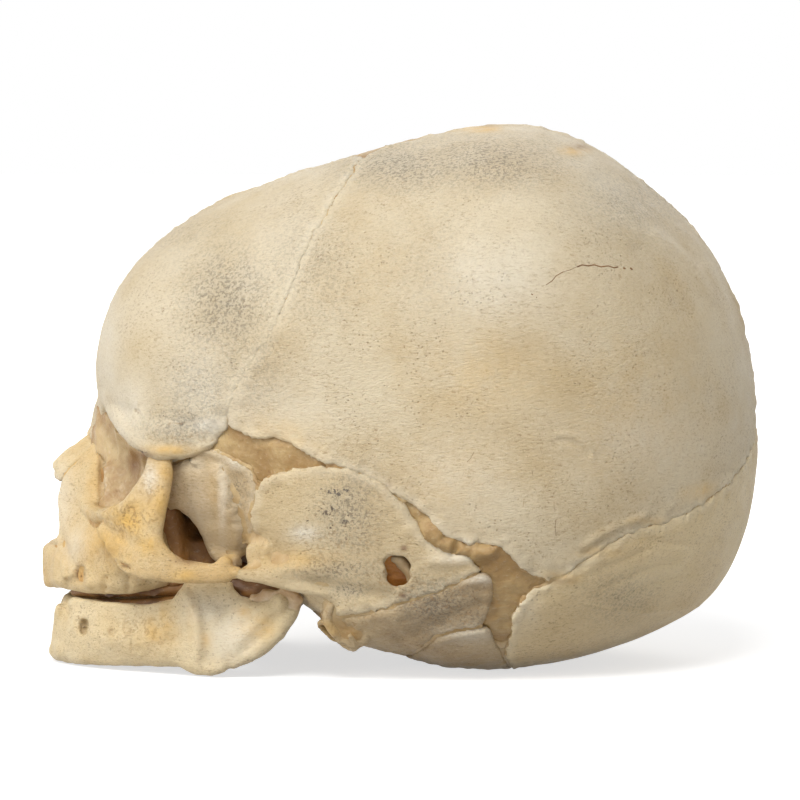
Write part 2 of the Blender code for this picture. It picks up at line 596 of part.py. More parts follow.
FACE_SHARES = {
    "nasal": (
        (LEAF_ROUND, ((0.19, 0.01, 0.795), (0.112, 0.01, 0.748), (0.215, 0.13, 0.765), (0.14, 0.13, 0.715))),
        (LEAF_ROUND, ((0.112, 0.01, 0.748), (0.054, 0.01, 0.698), (0.14, 0.13, 0.715), (0.085, 0.13, 0.665))),
        (LEAF_ROUND, ((0.054, 0.01, 0.698), (0.042, 0.01, 0.645), (0.085, 0.13, 0.665), (0.068, 0.11, 0.635))),
    ),
    "maxilla": (
        (PLATE_ROUND, ((0.20, 0.155, 0.775), (0.225, 0.20, 0.765), (0.08, 0.15, 0.63), (0.175, 0.27, 0.64))),
        (PLATE_ROUND, ((0.08, 0.15, 0.63), (0.175, 0.27, 0.64), (0.075, 0.16, 0.53), (0.19, 0.33, 0.555))),
        (PLATE_ROUND, ((0.075, 0.16, 0.53), (0.19, 0.33, 0.555), (0.095, 0.20, 0.44), (0.13, 0.36, 0.42))),
        (PLATE_ROUND, ((0.225, 0.20, 0.765), (0.175, 0.27, 0.64), (0.29, 0.235, 0.66), (0.21, 0.30, 0.55),
                       (0.29, 0.26, 0.56))),
        (BODY_ROUND, ((0.195, 0.34, 0.525), (0.295, 0.56, 0.515), (0.32, 0.68, 0.49), (0.31, 0.68, 0.385),
                      (0.13, 0.36, 0.41), (0.11, 0.26, 0.36), (0.46, 0.36, 0.48), (0.47, 0.60, 0.48),
                      (0.21, 0.48, 0.32), (0.345, 0.61, 0.31), (0.46, 0.62, 0.33), (0.30, 0.30, 0.41))),
        (PLATE_ROUND, ((0.105, 0.01, 0.415), (0.12, 0.25, 0.415), (0.42, 0.01, 0.405), (0.42, 0.40, 0.405))),
        (PLATE_ROUND, ((0.085, 0.01, 0.445), (0.105, 0.01, 0.415), (0.045, 0.01, 0.40), (0.20, 0.01, 0.42))),
        (PLATE_ROUND, ((0.03, 0.01, 0.28), (0.02, 0.01, 0.39), (0.026, 0.15, 0.272), (0.018, 0.14, 0.39),
                       (0.10, 0.01, 0.41))),
        (PLATE_ROUND, ((0.018, 0.14, 0.39), (0.026, 0.15, 0.272), (0.085, 0.28, 0.28), (0.07, 0.26, 0.38),
                       (0.10, 0.20, 0.41))),
        (BODY_ROUND, ((0.085, 0.29, 0.29), (0.09, 0.28, 0.38), (0.205, 0.47, 0.285), (0.20, 0.45, 0.40))),
        (BODY_ROUND, ((0.205, 0.47, 0.285), (0.34, 0.60, 0.295), (0.20, 0.44, 0.40), (0.34, 0.54, 0.40))),
        (BODY_ROUND, ((0.34, 0.60, 0.295), (0.46, 0.62, 0.325), (0.34, 0.52, 0.40), (0.47, 0.52, 0.42))),
    ),
    "zygomatic": (
        (STRUT_ROUND, ((0.435, 0.87, 0.755), (0.478, 0.89, 0.755), (0.425, 0.87, 0.70), (0.482, 0.90, 0.70))),
        (STRUT_ROUND, ((0.425, 0.87, 0.70), (0.482, 0.90, 0.70), (0.382, 0.86, 0.64), (0.472, 0.92, 0.64))),
        (STRUT_ROUND, ((0.382, 0.86, 0.64), (0.472, 0.92, 0.64), (0.325, 0.78, 0.565), (0.448, 0.93, 0.55))),
        (STRUT_ROUND, ((0.325, 0.78, 0.565), (0.448, 0.93, 0.55), (0.275, 0.66, 0.535), (0.285, 0.72, 0.44),
                       (0.446, 0.93, 0.45))),
        (STRUT_ROUND, ((0.285, 0.72, 0.44), (0.446, 0.93, 0.45), (0.34, 0.82, 0.385), (0.47, 0.945, 0.395),
                       (0.40, 0.90, 0.37))),
        (STRUT_ROUND, ((0.446, 0.93, 0.45), (0.40, 0.90, 0.37), (0.50, 0.95, 0.405), (0.54, 0.97, 0.388),
                       (0.54, 0.97, 0.358))),
        (STRUT_ROUND, ((0.54, 0.97, 0.388), (0.54, 0.97, 0.358), (0.685, 0.985, 0.376), (0.685, 0.985, 0.362))),
        (PLATE_ROUND, ((0.64, 0.985, 0.38), (0.69, 0.985, 0.385), (0.682, 0.985, 0.425))),
    ),
    "ethmoid": (
        (PLATE_ROUND, ((0.30, 0.09, 0.71), (0.30, 0.19, 0.69), (0.30, 0.12, 0.60), (0.30, 0.19, 0.60),
                       (0.60, 0.09, 0.61), (0.60, 0.21, 0.60), (0.62, 0.12, 0.52), (0.62, 0.21, 0.54))),
        (LEAF_ROUND, ((0.24, 0.00, 0.74), (0.62, 0.00, 0.62), (0.29, 0.00, 0.56), (0.62, 0.00, 0.52))),
        (LEAF_ROUND, ((0.27, 0.00, 0.73), (0.30, 0.14, 0.72), (0.62, 0.00, 0.61), (0.62, 0.14, 0.605))),
    ),
    "vomer": (
        (LEAF_ROUND, ((0.16, 0.00, 0.46), (0.48, 0.00, 0.455), (0.72, 0.00, 0.47), (0.76, 0.00, 0.53),
                      (0.28, 0.00, 0.545), (0.64, 0.00, 0.54))),
    ),
    "palatine": (
        (PLATE_ROUND, ((0.45, 0.01, 0.405), (0.45, 0.38, 0.405), (0.53, 0.01, 0.405), (0.54, 0.36, 0.415))),
        (PLATE_ROUND, ((0.51, 0.38, 0.405), (0.56, 0.36, 0.41), (0.51, 0.33, 0.57), (0.57, 0.30, 0.57))),
    ),
    "lacrimal": (
        (LEAF_ROUND, ((0.30, 0.265, 0.70), (0.31, 0.285, 0.585), (0.41, 0.255, 0.68), (0.41, 0.275, 0.57))),
    ),
    "concha": (
        (LEAF_ROUND, ((0.19, 0.24, 0.53), (0.45, 0.33, 0.52), (0.20, 0.15, 0.50), (0.44, 0.17, 0.495))),
        (LEAF_ROUND, ((0.20, 0.15, 0.50), (0.44, 0.17, 0.495), (0.21, 0.17, 0.46), (0.44, 0.19, 0.46))),
    ),
    "wing_wall": (
        (PLATE_ROUND, ((0.478, 0.82, 0.735), (0.47, 0.75, 0.60), (0.552, 0.70, 0.50), (0.62, 0.70, 0.41),
                       (0.64, 0.94, 0.735), (0.70, 0.92, 0.60), (0.73, 0.80, 0.45), (0.60, 0.64, 0.62),
                       (0.67, 0.48, 0.49))),
        (PLATE_ROUND, ((0.66, 0.36, 0.50), (0.76, 0.34, 0.44), (0.59, 0.37, 0.40), (0.65, 0.36, 0.35))),
        (PLATE_ROUND, ((0.70, 0.36, 0.48), (0.78, 0.50, 0.42), (0.64, 0.44, 0.38), (0.68, 0.46, 0.35))),
    ),
    "brow": (
        (PLATE_ROUND, ((0.205, 0.04, 0.99), (0.203, 0.04, 0.815), (0.26, 0.04, 0.82), (0.26, 0.04, 0.99),
                       (0.217, 0.17, 0.82), (0.213, 0.20, 0.96), (0.26, 0.16, 0.82), (0.27, 0.20, 0.99))),
        (PLATE_ROUND, ((0.213, 0.20, 0.96), (0.222, 0.27, 0.945), (0.24, 0.20, 0.99), (0.30, 0.25, 1.00),
                       (0.217, 0.17, 0.82), (0.28, 0.20, 0.85), (0.235, 0.33, 0.93))),
        (PLATE_ROUND, ((0.222, 0.27, 0.945), (0.258, 0.47, 0.90), (0.275, 0.30, 1.00), (0.30, 0.47, 0.98))),
        (PLATE_ROUND, ((0.258, 0.47, 0.90), (0.30, 0.65, 0.85), (0.30, 0.47, 0.98), (0.35, 0.65, 0.93))),
        (PLATE_ROUND, ((0.30, 0.65, 0.85), (0.35, 0.78, 0.812), (0.35, 0.65, 0.93), (0.40, 0.80, 0.90))),
        (STRUT_ROUND, ((0.35, 0.78, 0.812), (0.42, 0.86, 0.792), (0.40, 0.80, 0.90), (0.46, 0.90, 0.85),
                       (0.47, 0.885, 0.80))),
        (STRUT_ROUND, ((0.42, 0.86, 0.792), (0.48, 0.885, 0.795), (0.46, 0.90, 0.85), (0.56, 0.93, 0.87),
                       (0.56, 0.95, 0.82))),
    ),
    "temporal_root": (
        (STRUT_ROUND, ((0.71, 0.99, 0.366), (0.71, 0.99, 0.372), (0.80, 1.02, 0.355), (0.80, 1.02, 0.376))),
        (STRUT_ROUND, ((0.80, 1.02, 0.355), (0.80, 1.02, 0.376), (0.93, 1.015, 0.355), (0.95, 1.03, 0.40),
                       (1.05, 1.05, 0.37), (1.07, 1.08, 0.42), (0.96, 0.88, 0.35),
                       (1.02, 0.95, 0.43))),
    ),
    "mandible": (
        (BODY_ROUND, ((0.085, 0.00, 0.205), (0.06, 0.00, 0.12), (0.045, 0.00, 0.035), (0.10, 0.19, 0.21),
                      (0.065, 0.19, 0.11), (0.06, 0.19, 0.032), (0.135, 0.14, 0.195), (0.11, 0.14, 0.05))),
        (BODY_ROUND, ((0.10, 0.19, 0.21), (0.065, 0.19, 0.11), (0.06, 0.19, 0.032), (0.17, 0.38, 0.212),
                      (0.13, 0.37, 0.11), (0.14, 0.36, 0.032), (0.15, 0.14, 0.19), (0.20, 0.30, 0.19),
                      (0.20, 0.28, 0.05))),
        (BODY_ROUND, ((0.17, 0.38, 0.212), (0.13, 0.37, 0.11), (0.14, 0.36, 0.032), (0.30, 0.55, 0.205),
                      (0.27, 0.56, 0.12), (0.28, 0.52, 0.035), (0.21, 0.30, 0.19), (0.33, 0.46, 0.19),
                      (0.32, 0.44, 0.06))),
        (BODY_ROUND, ((0.30, 0.55, 0.205), (0.27, 0.56, 0.12), (0.28, 0.52, 0.035), (0.46, 0.68, 0.205),
                      (0.44, 0.69, 0.12), (0.45, 0.66, 0.032), (0.34, 0.46, 0.19), (0.48, 0.60, 0.19),
                      (0.48, 0.60, 0.06))),
        (STRUT_ROUND, ((0.46, 0.68, 0.205), (0.44, 0.69, 0.12), (0.45, 0.66, 0.032), (0.55, 0.78, 0.30),
                       (0.60, 0.78, 0.12), (0.59, 0.76, 0.028), (0.48, 0.60, 0.19))),
        (PLATE_ROUND, ((0.49, 0.71, 0.24), (0.545, 0.78, 0.325), (0.64, 0.80, 0.332), (0.68, 0.81, 0.305),
                       (0.74, 0.82, 0.245), (0.60, 0.78, 0.12))),
        (STRUT_ROUND, ((0.59, 0.78, 0.18), (0.59, 0.76, 0.028), (0.66, 0.78, 0.034), (0.74, 0.80, 0.10),
                       (0.73, 0.82, 0.215), (0.80, 0.82, 0.16))),
        (STRUT_ROUND, ((0.73, 0.82, 0.215), (0.74, 0.80, 0.11), (0.80, 0.82, 0.16), (0.855, 0.83, 0.205),
                       (0.84, 0.83, 0.25))),
    ),
}

# About how many facets each bone gets, and the bones that each one makes way for
FACET_COUNTS = {
    "nasal": 160, "maxilla": 860, "zygomatic": 380, "ethmoid": 340, "vomer": 140, "palatine": 180,
    "lacrimal": 100, "concha": 150, "wing_wall": 340, "brow": 260, "temporal_root": 140, "mandible": 760,
    "symphysis": 120,
}
MAKES_WAY = {
    "nasal": (), "zygomatic": (), "ethmoid": (), "maxilla": ("nasal", "zygomatic"),
    "vomer": ("ethmoid",), "lacrimal": ("maxilla", "ethmoid"), "palatine": ("maxilla",),
    "concha": ("maxilla",), "wing_wall": ("zygomatic", "palatine"), "temporal_root": ("zygomatic",),
    "brow": ("zygomatic", "maxilla", "nasal", "ethmoid"),
}

# The jaw joint: its axis runs through the middle of both condyles.
CONDYLE_SHARES = (0.857, 0.83, 0.271)
CONDYLE_RADIUS = 0.0019
CONDYLE_WIDTH = 0.0062
SYMPHYSIS_WALL = 0.0010
ORBIT_SHARES = ((0.225, 0.30, 0.690), (0.250, 0.55, 0.860), (0.330, 0.80, 0.760), (0.330, 0.80, 0.640),
                (0.265, 0.62, 0.585), (0.215, 0.38, 0.590), (0.640, 0.36, 0.600), (0.560, 0.60, 0.700))
ORBIT_ROUND = 0.0012

# Tooth crypts: where each one opens along the edge of a jaw, and how wide it is
MAXILLA_CRYPT_SHARES = ((0.060, 0.08), (0.110, 0.23), (0.190, 0.36), (0.290, 0.47), (0.400, 0.55))
MAXILLA_CRYPT_LEVEL_SHARE = 0.262
MANDIBLE_CRYPT_SHARES = ((0.110, 0.09), (0.130, 0.22), (0.195, 0.35), (0.300, 0.475), (0.420, 0.595))
MANDIBLE_CRYPT_LEVEL_SHARE = 0.245
CRYPT_RADII = (0.0011, 0.0011, 0.0014, 0.0018, 0.0022)

# The ring round the ear drum, open at the top, and the eaten hole above it
RING_SHARES = (0.440, 0.640, 0.105)
RING_RADIUS = 0.0036
RING_ROUND = 0.0006
RING_START = math.radians(125)
RING_TURN = math.radians(300)
RING_POINTS = 17
HOLE_SHARES = (0.508, 0.866, 0.201)
HOLE_RADIUS = 0.0015

# How deep the lumps that grow out of a plate sink into it, as a share of its edge
ROOT_DEPTH_SHARE = 0.85

# Where the jaw and the back of the base rest, the lowest points are worn to one level
REST_WEAR = 0.0007

# Ivory vault, yellower face and greyer base, with brown dried membranes
VAULT_BONE = (0.60, 0.50, 0.34)
FACE_BONE = (0.66, 0.51, 0.30)
BASE_BONE = (0.40, 0.31, 0.20)
BONE_ROUGHNESS = 0.48
MEMBRANE = (0.30, 0.19, 0.09)
MEMBRANE_ROUGHNESS = 0.35
CARTILAGE = (0.36, 0.24, 0.12)
CARTILAGE_ROUGHNESS = 0.40


def block(name, near, far):
    """A tall block between two planes across the skull, to part the two halves of the face."""
    shape = bmesh.new()
    bmesh.ops.create_cube(shape, size=SKULL_LENGTH)
    bmesh.ops.scale(shape, vec=(1, abs(far - near) / SKULL_LENGTH, 1), verts=shape.verts)
    bmesh.ops.translate(shape, vec=(0, (near + far) / 2, 0), verts=shape.verts)
    mesh = bpy.data.meshes.new(name)
    shape.to_mesh(mesh)
    shape.free()
    return cutter_object(name, mesh)


def remove(*objects):
    for thing in objects:
        bpy.data.objects.remove(thing)


def facial_bone(name, node, look, cutters, side=1):
    """A facial bone from its lumps, carved by the cutters and by the bones it makes way for."""
    piece = add_piece(node, join_hulls(node, FACE_SHARES[name], side), look)
    soften(piece)
    ways = [
        merge(cutter_object("way", join_hulls("way", FACE_SHARES[other], side, BONE_GAP)))
        for other in MAKES_WAY.get(name, ())
    ]
    cut(piece, ways + cutters)
    remove(*ways)
    return settle(piece, FACET_COUNTS[name])


def balls(name, spots):
    """Separate balls, given as (place, radius), in one cutter."""
    shape = bmesh.new()
    for spot, radius in spots:
        ball = bmesh.ops.create_icosphere(shape, subdivisions=2, radius=radius)
        bmesh.ops.translate(shape, verts=ball["verts"], vec=spot)
    mesh = bpy.data.meshes.new(name)
    shape.to_mesh(mesh)
    shape.free()
    return cutter_object(name, mesh)


def crypts(places_shares, level_share):
    spots = [(face(x, y, level_share, 1), size) for (x, y), size in zip(places_shares, CRYPT_RADII)]
    return balls("crypts", spots)


def mirror_to_left(piece, node):
    """The left twin of a piece of the right side, with its own mesh and material."""
    mesh = piece.data.copy()
    mesh.name = node
    mesh.transform(Matrix.Diagonal((1, -1, 1, 1)))
    mesh.flip_normals()
    twin = bpy.data.objects.new(node, mesh)
    bpy.context.scene.collection.objects.link(twin)
    look = piece.data.materials[0].copy()
    look.name = node
    mesh.materials[0] = look
    return twin


def wear_flat(piece):
    """Levels the lowest points of a piece on the plane that the skull rests on."""
    for vertex in piece.data.vertices:
        if vertex.co.z < REST_WEAR:
            vertex.co.z = 0


def bone_look(node, colour=FACE_BONE):
    return material(node, colour, BONE_ROUGHNESS)


def build_face():
    """The bones before and under the egg that stand free of its plates."""
    vault = egg_solid("vault_clearance", SUTURE_GAP)
    middle = block("middle_clearance", SUTURE_GAP / 2, -FACE_HALF_WIDTH)
    orbit = cutter_object("orbit", join_hulls("orbit", ((ORBIT_ROUND, ORBIT_SHARES),), 1))
    sockets = crypts(MAXILLA_CRYPT_SHARES, MAXILLA_CRYPT_LEVEL_SHARE)
    own_cutters = {"maxilla": [orbit, sockets], "zygomatic": [orbit]}
    for name in ("nasal", "maxilla", "zygomatic", "lacrimal", "palatine", "concha"):
        node = name + "_right"
        piece = facial_bone(name, node, bone_look(node), [vault, middle] + own_cutters.get(name, []))
        mirror_to_left(piece, name + "_left")
    for name in ("ethmoid", "vomer"):
        facial_bone(name, name, bone_look(name), [vault], side=0)
    remove(vault, middle, orbit, sockets)


def build_jaw():
    """Both halves of the jaw hang on an empty on the joint axis, with the cartilage between."""
    hinge = bpy.data.objects.new("jaw_hinge", None)
    bpy.context.scene.collection.objects.link(hinge)
    joint = face(*CONDYLE_SHARES, 0)
    hinge.location = joint
    lumps = join_hulls("half", FACE_SHARES["mandible"], 1)
    half = add_piece("mandible_right", lumps, bone_look("mandible_right"))
    shape = bmesh.new()
    shape.from_mesh(half.data)
    ball = bmesh.ops.create_icosphere(shape, subdivisions=3, radius=CONDYLE_RADIUS)
    stretch = CONDYLE_WIDTH / (2 * CONDYLE_RADIUS)
    bmesh.ops.scale(shape, vec=(1, stretch, 1), verts=ball["verts"])
    bmesh.ops.translate(shape, vec=face(*CONDYLE_SHARES, 1), verts=ball["verts"])
    shape.to_mesh(half.data)
    shape.free()
    soften(half)
    parting = block("parting", SYMPHYSIS_WALL / 2 + BONE_GAP, -FACE_HALF_WIDTH)
    sockets = crypts(MANDIBLE_CRYPT_SHARES, MANDIBLE_CRYPT_LEVEL_SHARE)
    cut(half, [parting, sockets])
    settle(half, FACET_COUNTS["mandible"])
    wear_flat(half)
    twin = mirror_to_left(half, "mandible_left")
    look = material("symphysis_cartilage", CARTILAGE, CARTILAGE_ROUGHNESS)
    front = add_piece("symphysis_cartilage", join_hulls("front", FACE_SHARES["mandible"][:1], 0), look)
    soften(front)
    core = block("core", -SYMPHYSIS_WALL / 2, SYMPHYSIS_WALL / 2)
    cut(front, [core], "INTERSECT")
    settle(front, FACET_COUNTS["symphysis"])
    remove(parting, sockets, core)
    for piece in (half, twin, front):
        piece.parent = hinge
        piece.data.transform(Matrix.Translation(-joint))


def build_ring():
    """The ring of bone that carries the ear drum, a bent rod that follows the skin below the ear."""
    centre = skin(places([RING_SHARES], 1))
    normal = outward(centre)[0]
    ahead = unit(np.cross(normal, (0, 1, 0)))
    up = np.cross(ahead, normal)
    angles = RING_START + np.linspace(0, RING_TURN, RING_POINTS)
    flat = centre + RING_RADIUS * (np.cos(angles)[:, None] * ahead + np.sin(angles)[:, None] * up)
    course = skin(flat)
    course += outward(course) * (RING_ROUND + BONE_GAP)
    curve = bpy.data.curves.new("tympanic_ring_right", "CURVE")
    curve.dimensions = "3D"
    curve.bevel_depth = RING_ROUND
    curve.bevel_resolution = 1
    curve.use_fill_caps = True
    spline = curve.splines.new("POLY")
    spline.points.add(len(course) - 1)
    for point, spot in zip(spline.points, course):
        point.co = (*spot, 1)
    rod = cutter_object("rod", curve)
    graph = bpy.context.evaluated_depsgraph_get()
    mesh = bpy.data.meshes.new_from_object(rod.evaluated_get(graph))
    remove(rod)
    node = "tympanic_ring_right"
    ends = bmesh.new()
    ends.from_mesh(mesh)
    bmesh.ops.remove_doubles(ends, verts=ends.verts, dist=RING_ROUND / RING_POINTS)
    ends.to_mesh(mesh)
    ends.free()
    ring = add_piece(node, mesh, bone_look(node, BASE_BONE))
    mirror_to_left(ring, "tympanic_ring_left")


# The lines round each plate. A name with a leading minus runs backwards. Plates on the middle
# plane list only their right half.
VAULT_OUTLINES = {
    "frontal": ("metopic", "nasal_root", "nasal_notch", "plate_edge", "roof_back", "pterion_front",
                "coronal", "bregma_edge"),
    "parietal": ("bregma_rear", "sagittal", "lambda_edge", "lambdoid", "mastoid_roof", "squamous",
                 "pterion_roof", "coronal"),
    "temporal_squama": ("mastoid_front", "squama_base", "squama_wing", "-pterion_rear", "-squamous"),
    "petrous": ("mastoid_floor", "-jugular_edge", "-petrous_edge", "-petrous_wing", "-squama_base"),
    "exoccipital": ("magnum_side", "basion_joint", "jugular_edge", "condylar_edge", "nape"),
    "sphenoid_wing": ("petrous_wing", "wing_edge", "wing_orbit", "-pterion_floor", "-squama_wing"),
    "sphenoid_fontanelle": ("pterion_roof", "-pterion_front", "-pterion_floor", "-pterion_rear"),
    "mastoid_fontanelle": ("mastoid_roof", "mastoid_front", "mastoid_floor", "condylar_edge",
                           "mastoid_rear"),
}
MIDDLE_OUTLINES = {
    "occipital_squama": ("-lambda_base", "lambdoid", "-mastoid_rear", "nape", "magnum_rear"),
    "basioccipital": ("magnum_front", "basion_joint", "clivus_edge", "clivus_joint"),
    "sphenoid_body": ("-clivus_joint", "body_edge", "lesser_rear", "lesser_front", "planum_edge"),
    "anterior_fontanelle": ("-bregma_edge", "bregma_rear"),
    "posterior_fontanelle": ("lambda_edge", "lambda_base"),
}
BASE_BONES = ("petrous", "exoccipital", "basioccipital", "sphenoid_body")
WALLS = {"petrous": PETROUS_WALL, "basioccipital": CLIVUS_WALL, "sphenoid_body": CLIVUS_WALL}
FACETS = {"parietal": PLATE_FACET, "frontal": PLATE_FACET, "occipital_squama": PLATE_FACET}
EXTRAS = {"sphenoid_wing": "wing_wall", "temporal_squama": "temporal_root", "frontal": "brow"}
NEIGHBOURS = {
    "sphenoid_wing": ("frontal", "temporal_squama", "petrous", "sphenoid_fontanelle"),
    "temporal_squama": ("petrous", "sphenoid_wing", "sphenoid_fontanelle"),
    "frontal": ("sphenoid_wing", "sphenoid_fontanelle"),
}


def vault_plate(name, node, outline):
    if "fontanelle" in name:
        look = material(node, MEMBRANE, MEMBRANE_ROUGHNESS)
        return plate(node, outline, look, facet=SMALL_FACET, gap=MEMBRANE_GAP, wall=MEMBRANE_WALL,
                     edge=MEMBRANE_WALL, sink=MEMBRANE_SINK)
    look = bone_look(node, BASE_BONE if name in BASE_BONES else VAULT_BONE)
    return plate(node, outline, look, facet=FACETS.get(name, SMALL_FACET), wall=WALLS.get(name, PLATE_WALL))


def heal(piece):
    """Removes the slivers that a cut leaves."""
    shape = bmesh.new()
    shape.from_mesh(piece.data)
    bmesh.ops.remove_doubles(shape, verts=shape.verts, dist=SLIVER)
    bmesh.ops.dissolve_degenerate(shape, edges=shape.edges, dist=SLIVER)
    bmesh.ops.triangulate(shape, faces=shape.faces)
    shape.to_mesh(piece.data)
    shape.free()


def add_root(piece, name, lines):
    """Fuses a plate with the lumps that grow out of it, clear of the plates around it."""
    look = piece.data.materials[0]
    core = egg_solid("core", -ROOT_DEPTH_SHARE * PLATE_EDGE)
    blockers = [
        plate("blocker", closed(lines, *VAULT_OUTLINES[other]), look, facet=SMALL_FACET,
              gap=-SUTURE_GAP, wall=PLATE_WALL + SUTURE_GAP, sink=-SUTURE_GAP)
        for other in NEIGHBOURS[name]
    ]
    root = facial_bone(EXTRAS[name], EXTRAS[name], look, blockers + [core])
    cut(piece, [root], "UNION")
    heal(piece)
    remove(root, core, *blockers)


def build_vault():
    lines = suture_lines(1)
    for name, names in VAULT_OUTLINES.items():
        piece = vault_plate(name, name + "_right", closed(lines, *names))
        if name in EXTRAS:
            add_root(piece, name, lines)
        if name == "temporal_squama":
            hole = balls("hole", [(skin(places([HOLE_SHARES], 1))[0], HOLE_RADIUS)])
            cut(piece, [hole])
            remove(hole)
        mirror_to_left(piece, name + "_left")
    for name, names in MIDDLE_OUTLINES.items():
        vault_plate(name, name, both_sides(chain(lines, *names)))


def main():
    clear_scene()
    build_vault()
    build_face()
    build_jaw()
    build_ring()


if __name__ == "__main__":
    main()
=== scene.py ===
"""The looks of a term fetal skull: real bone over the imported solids, plate by plate, with the dried
tissue that still holds it together."""

import json
import math

import bmesh
import bpy
import numpy as np
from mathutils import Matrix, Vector
from mathutils.kdtree import KDTree

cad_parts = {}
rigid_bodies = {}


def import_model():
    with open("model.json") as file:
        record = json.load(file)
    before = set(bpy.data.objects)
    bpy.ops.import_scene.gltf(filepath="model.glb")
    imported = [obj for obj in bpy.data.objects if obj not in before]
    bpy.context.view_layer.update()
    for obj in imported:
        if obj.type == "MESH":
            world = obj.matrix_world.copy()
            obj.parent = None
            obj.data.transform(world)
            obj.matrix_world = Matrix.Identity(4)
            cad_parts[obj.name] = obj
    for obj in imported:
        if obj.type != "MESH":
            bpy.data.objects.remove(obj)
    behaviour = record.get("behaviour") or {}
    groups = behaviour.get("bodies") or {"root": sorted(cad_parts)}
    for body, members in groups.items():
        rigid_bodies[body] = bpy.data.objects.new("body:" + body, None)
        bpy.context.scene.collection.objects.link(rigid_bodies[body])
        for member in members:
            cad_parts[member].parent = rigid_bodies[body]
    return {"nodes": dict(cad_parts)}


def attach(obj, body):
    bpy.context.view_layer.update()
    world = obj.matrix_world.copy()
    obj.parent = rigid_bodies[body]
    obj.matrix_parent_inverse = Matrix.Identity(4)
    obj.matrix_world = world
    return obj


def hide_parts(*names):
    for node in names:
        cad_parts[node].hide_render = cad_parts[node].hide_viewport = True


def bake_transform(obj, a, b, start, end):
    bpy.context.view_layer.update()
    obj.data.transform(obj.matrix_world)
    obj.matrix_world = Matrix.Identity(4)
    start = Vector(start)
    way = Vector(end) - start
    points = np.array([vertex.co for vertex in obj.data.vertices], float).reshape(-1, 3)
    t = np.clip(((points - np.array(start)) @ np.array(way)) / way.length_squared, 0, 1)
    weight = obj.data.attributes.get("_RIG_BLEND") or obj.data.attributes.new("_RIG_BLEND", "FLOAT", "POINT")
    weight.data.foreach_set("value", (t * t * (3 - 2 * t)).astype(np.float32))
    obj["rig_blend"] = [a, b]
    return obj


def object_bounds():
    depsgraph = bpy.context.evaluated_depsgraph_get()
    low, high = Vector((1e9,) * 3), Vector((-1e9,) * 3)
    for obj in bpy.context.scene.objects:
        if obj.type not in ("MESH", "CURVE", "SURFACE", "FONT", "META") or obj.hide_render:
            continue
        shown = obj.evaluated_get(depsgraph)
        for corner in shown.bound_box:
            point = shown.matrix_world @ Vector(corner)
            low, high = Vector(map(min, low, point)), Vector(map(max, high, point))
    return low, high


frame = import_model()
cad_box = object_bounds()
nodes = frame["nodes"]

# The camera stands far off, almost square to the skull's left side and a little above it, as in the
# photograph. A long lens keeps the bones' proportions.
CAMERA_AZIMUTH = math.radians(3)
CAMERA_RISE = math.radians(4)
CAMERA_DISTANCE = 0.9
CAMERA_AIM = Vector((0, 0, 0.0442))
FOCAL_PIXELS = 5294
FRAME_PIXELS = 800
SENSOR = 36

towards_camera = Vector((
    math.sin(CAMERA_AZIMUTH) * math.cos(CAMERA_RISE),
    -math.cos(CAMERA_AZIMUTH) * math.cos(CAMERA_RISE),
    math.sin(CAMERA_RISE),
))
bpy.ops.object.select_all(action="DESELECT")
bpy.ops.object.camera_add(
    location=CAMERA_AIM + CAMERA_DISTANCE * towards_camera,
    rotation=(-towards_camera).to_track_quat("-Z", "Y").to_euler(),
)
camera = bpy.context.object
camera.data.sensor_width = SENSOR
camera.data.lens = SENSOR * FOCAL_PIXELS / FRAME_PIXELS
camera.data.clip_end = 10
bpy.context.scene.camera = camera
bpy.context.view_layer.update()
camera_turn = np.array(camera.matrix_world.to_3x3())
camera_place = np.array(camera.matrix_world.translation)


def seen_at(points):
    """Where points show in the photograph, in its pixels. The right side counts as the left."""
    left = points * (1, 0, 1) - np.abs(points) * (0, 1, 0)
    inside = (left - camera_place) @ camera_turn
    return FRAME_PIXELS / 2 + FOCAL_PIXELS * inside[:, :2] / -inside[:, 2:] * (1, -1)


# The vault plates: thin ivory bone that grew from a centre, so fine pores radiate from it. Each is
# its solid, rounded and given the crinkled edges that plates have along a suture.
VAULT_PLATES = {
    "parietal_left": (0.0201, -0.0441, 0.0659),
    "parietal_right": (0.0201, 0.0441, 0.0659),
    "frontal_left": (-0.0463, -0.0218, 0.0567),
    "frontal_right": (-0.0463, 0.0218, 0.0567),
    "occipital_squama": (0.0600, 0, 0.0230),
    "temporal_squama_left": (-0.0040, -0.0415, 0.0130),
    "temporal_squama_right": (-0.0040, 0.0415, 0.0130),
    "sphenoid_wing_left": (-0.0240, -0.0150, 0.0150),
    "sphenoid_wing_right": (-0.0240, 0.0150, 0.0150),
}
PLATE_LEVELS = 2
PLATE_VOXEL = 0.00046
RIM_CREASE = 0.8
RIM_ANGLE = math.radians(42)
RIM_STEP = 0.0005
WALL_RISE = 0.0016
WALL_SHARE = 0.16
LIP_REACH = 0.0010
LIP_GROWTH = 0.00046
CLOSED_GROWTH = 0.00028
CLOSED_SPOTS = (
    (270, 330, 30, 60, 0.8), (245, 390, 20, 60, 1.0), (232, 413, 30, 40, 1.0), (650, 515, 80, 40, 0.8),
    (250, 520, 22, 60, 1.0), (215, 470, 30, 20, 0.8), (400, 600, 60, 26, 0.6),
)
SWELL_SIZE = 0.013
SWELL = 0.0007
RAISED_LEVEL = 0.55
CRINKLE_SIZE = 0.0021
CRINKLE = 0.0009
CRINKLE_REACH = 0.0035
FAR_FROM_RIM = 9
WAVE_SIZE = 0.011
WAVE = 0.0009


def only(piece):
    bpy.ops.object.select_all(action="DESELECT")
    bpy.context.view_layer.objects.active = piece
    piece.select_set(True)


def added_to_scene(name, data):
    made = bpy.data.objects.new(name, data)
    bpy.context.scene.collection.objects.link(made)
    return made


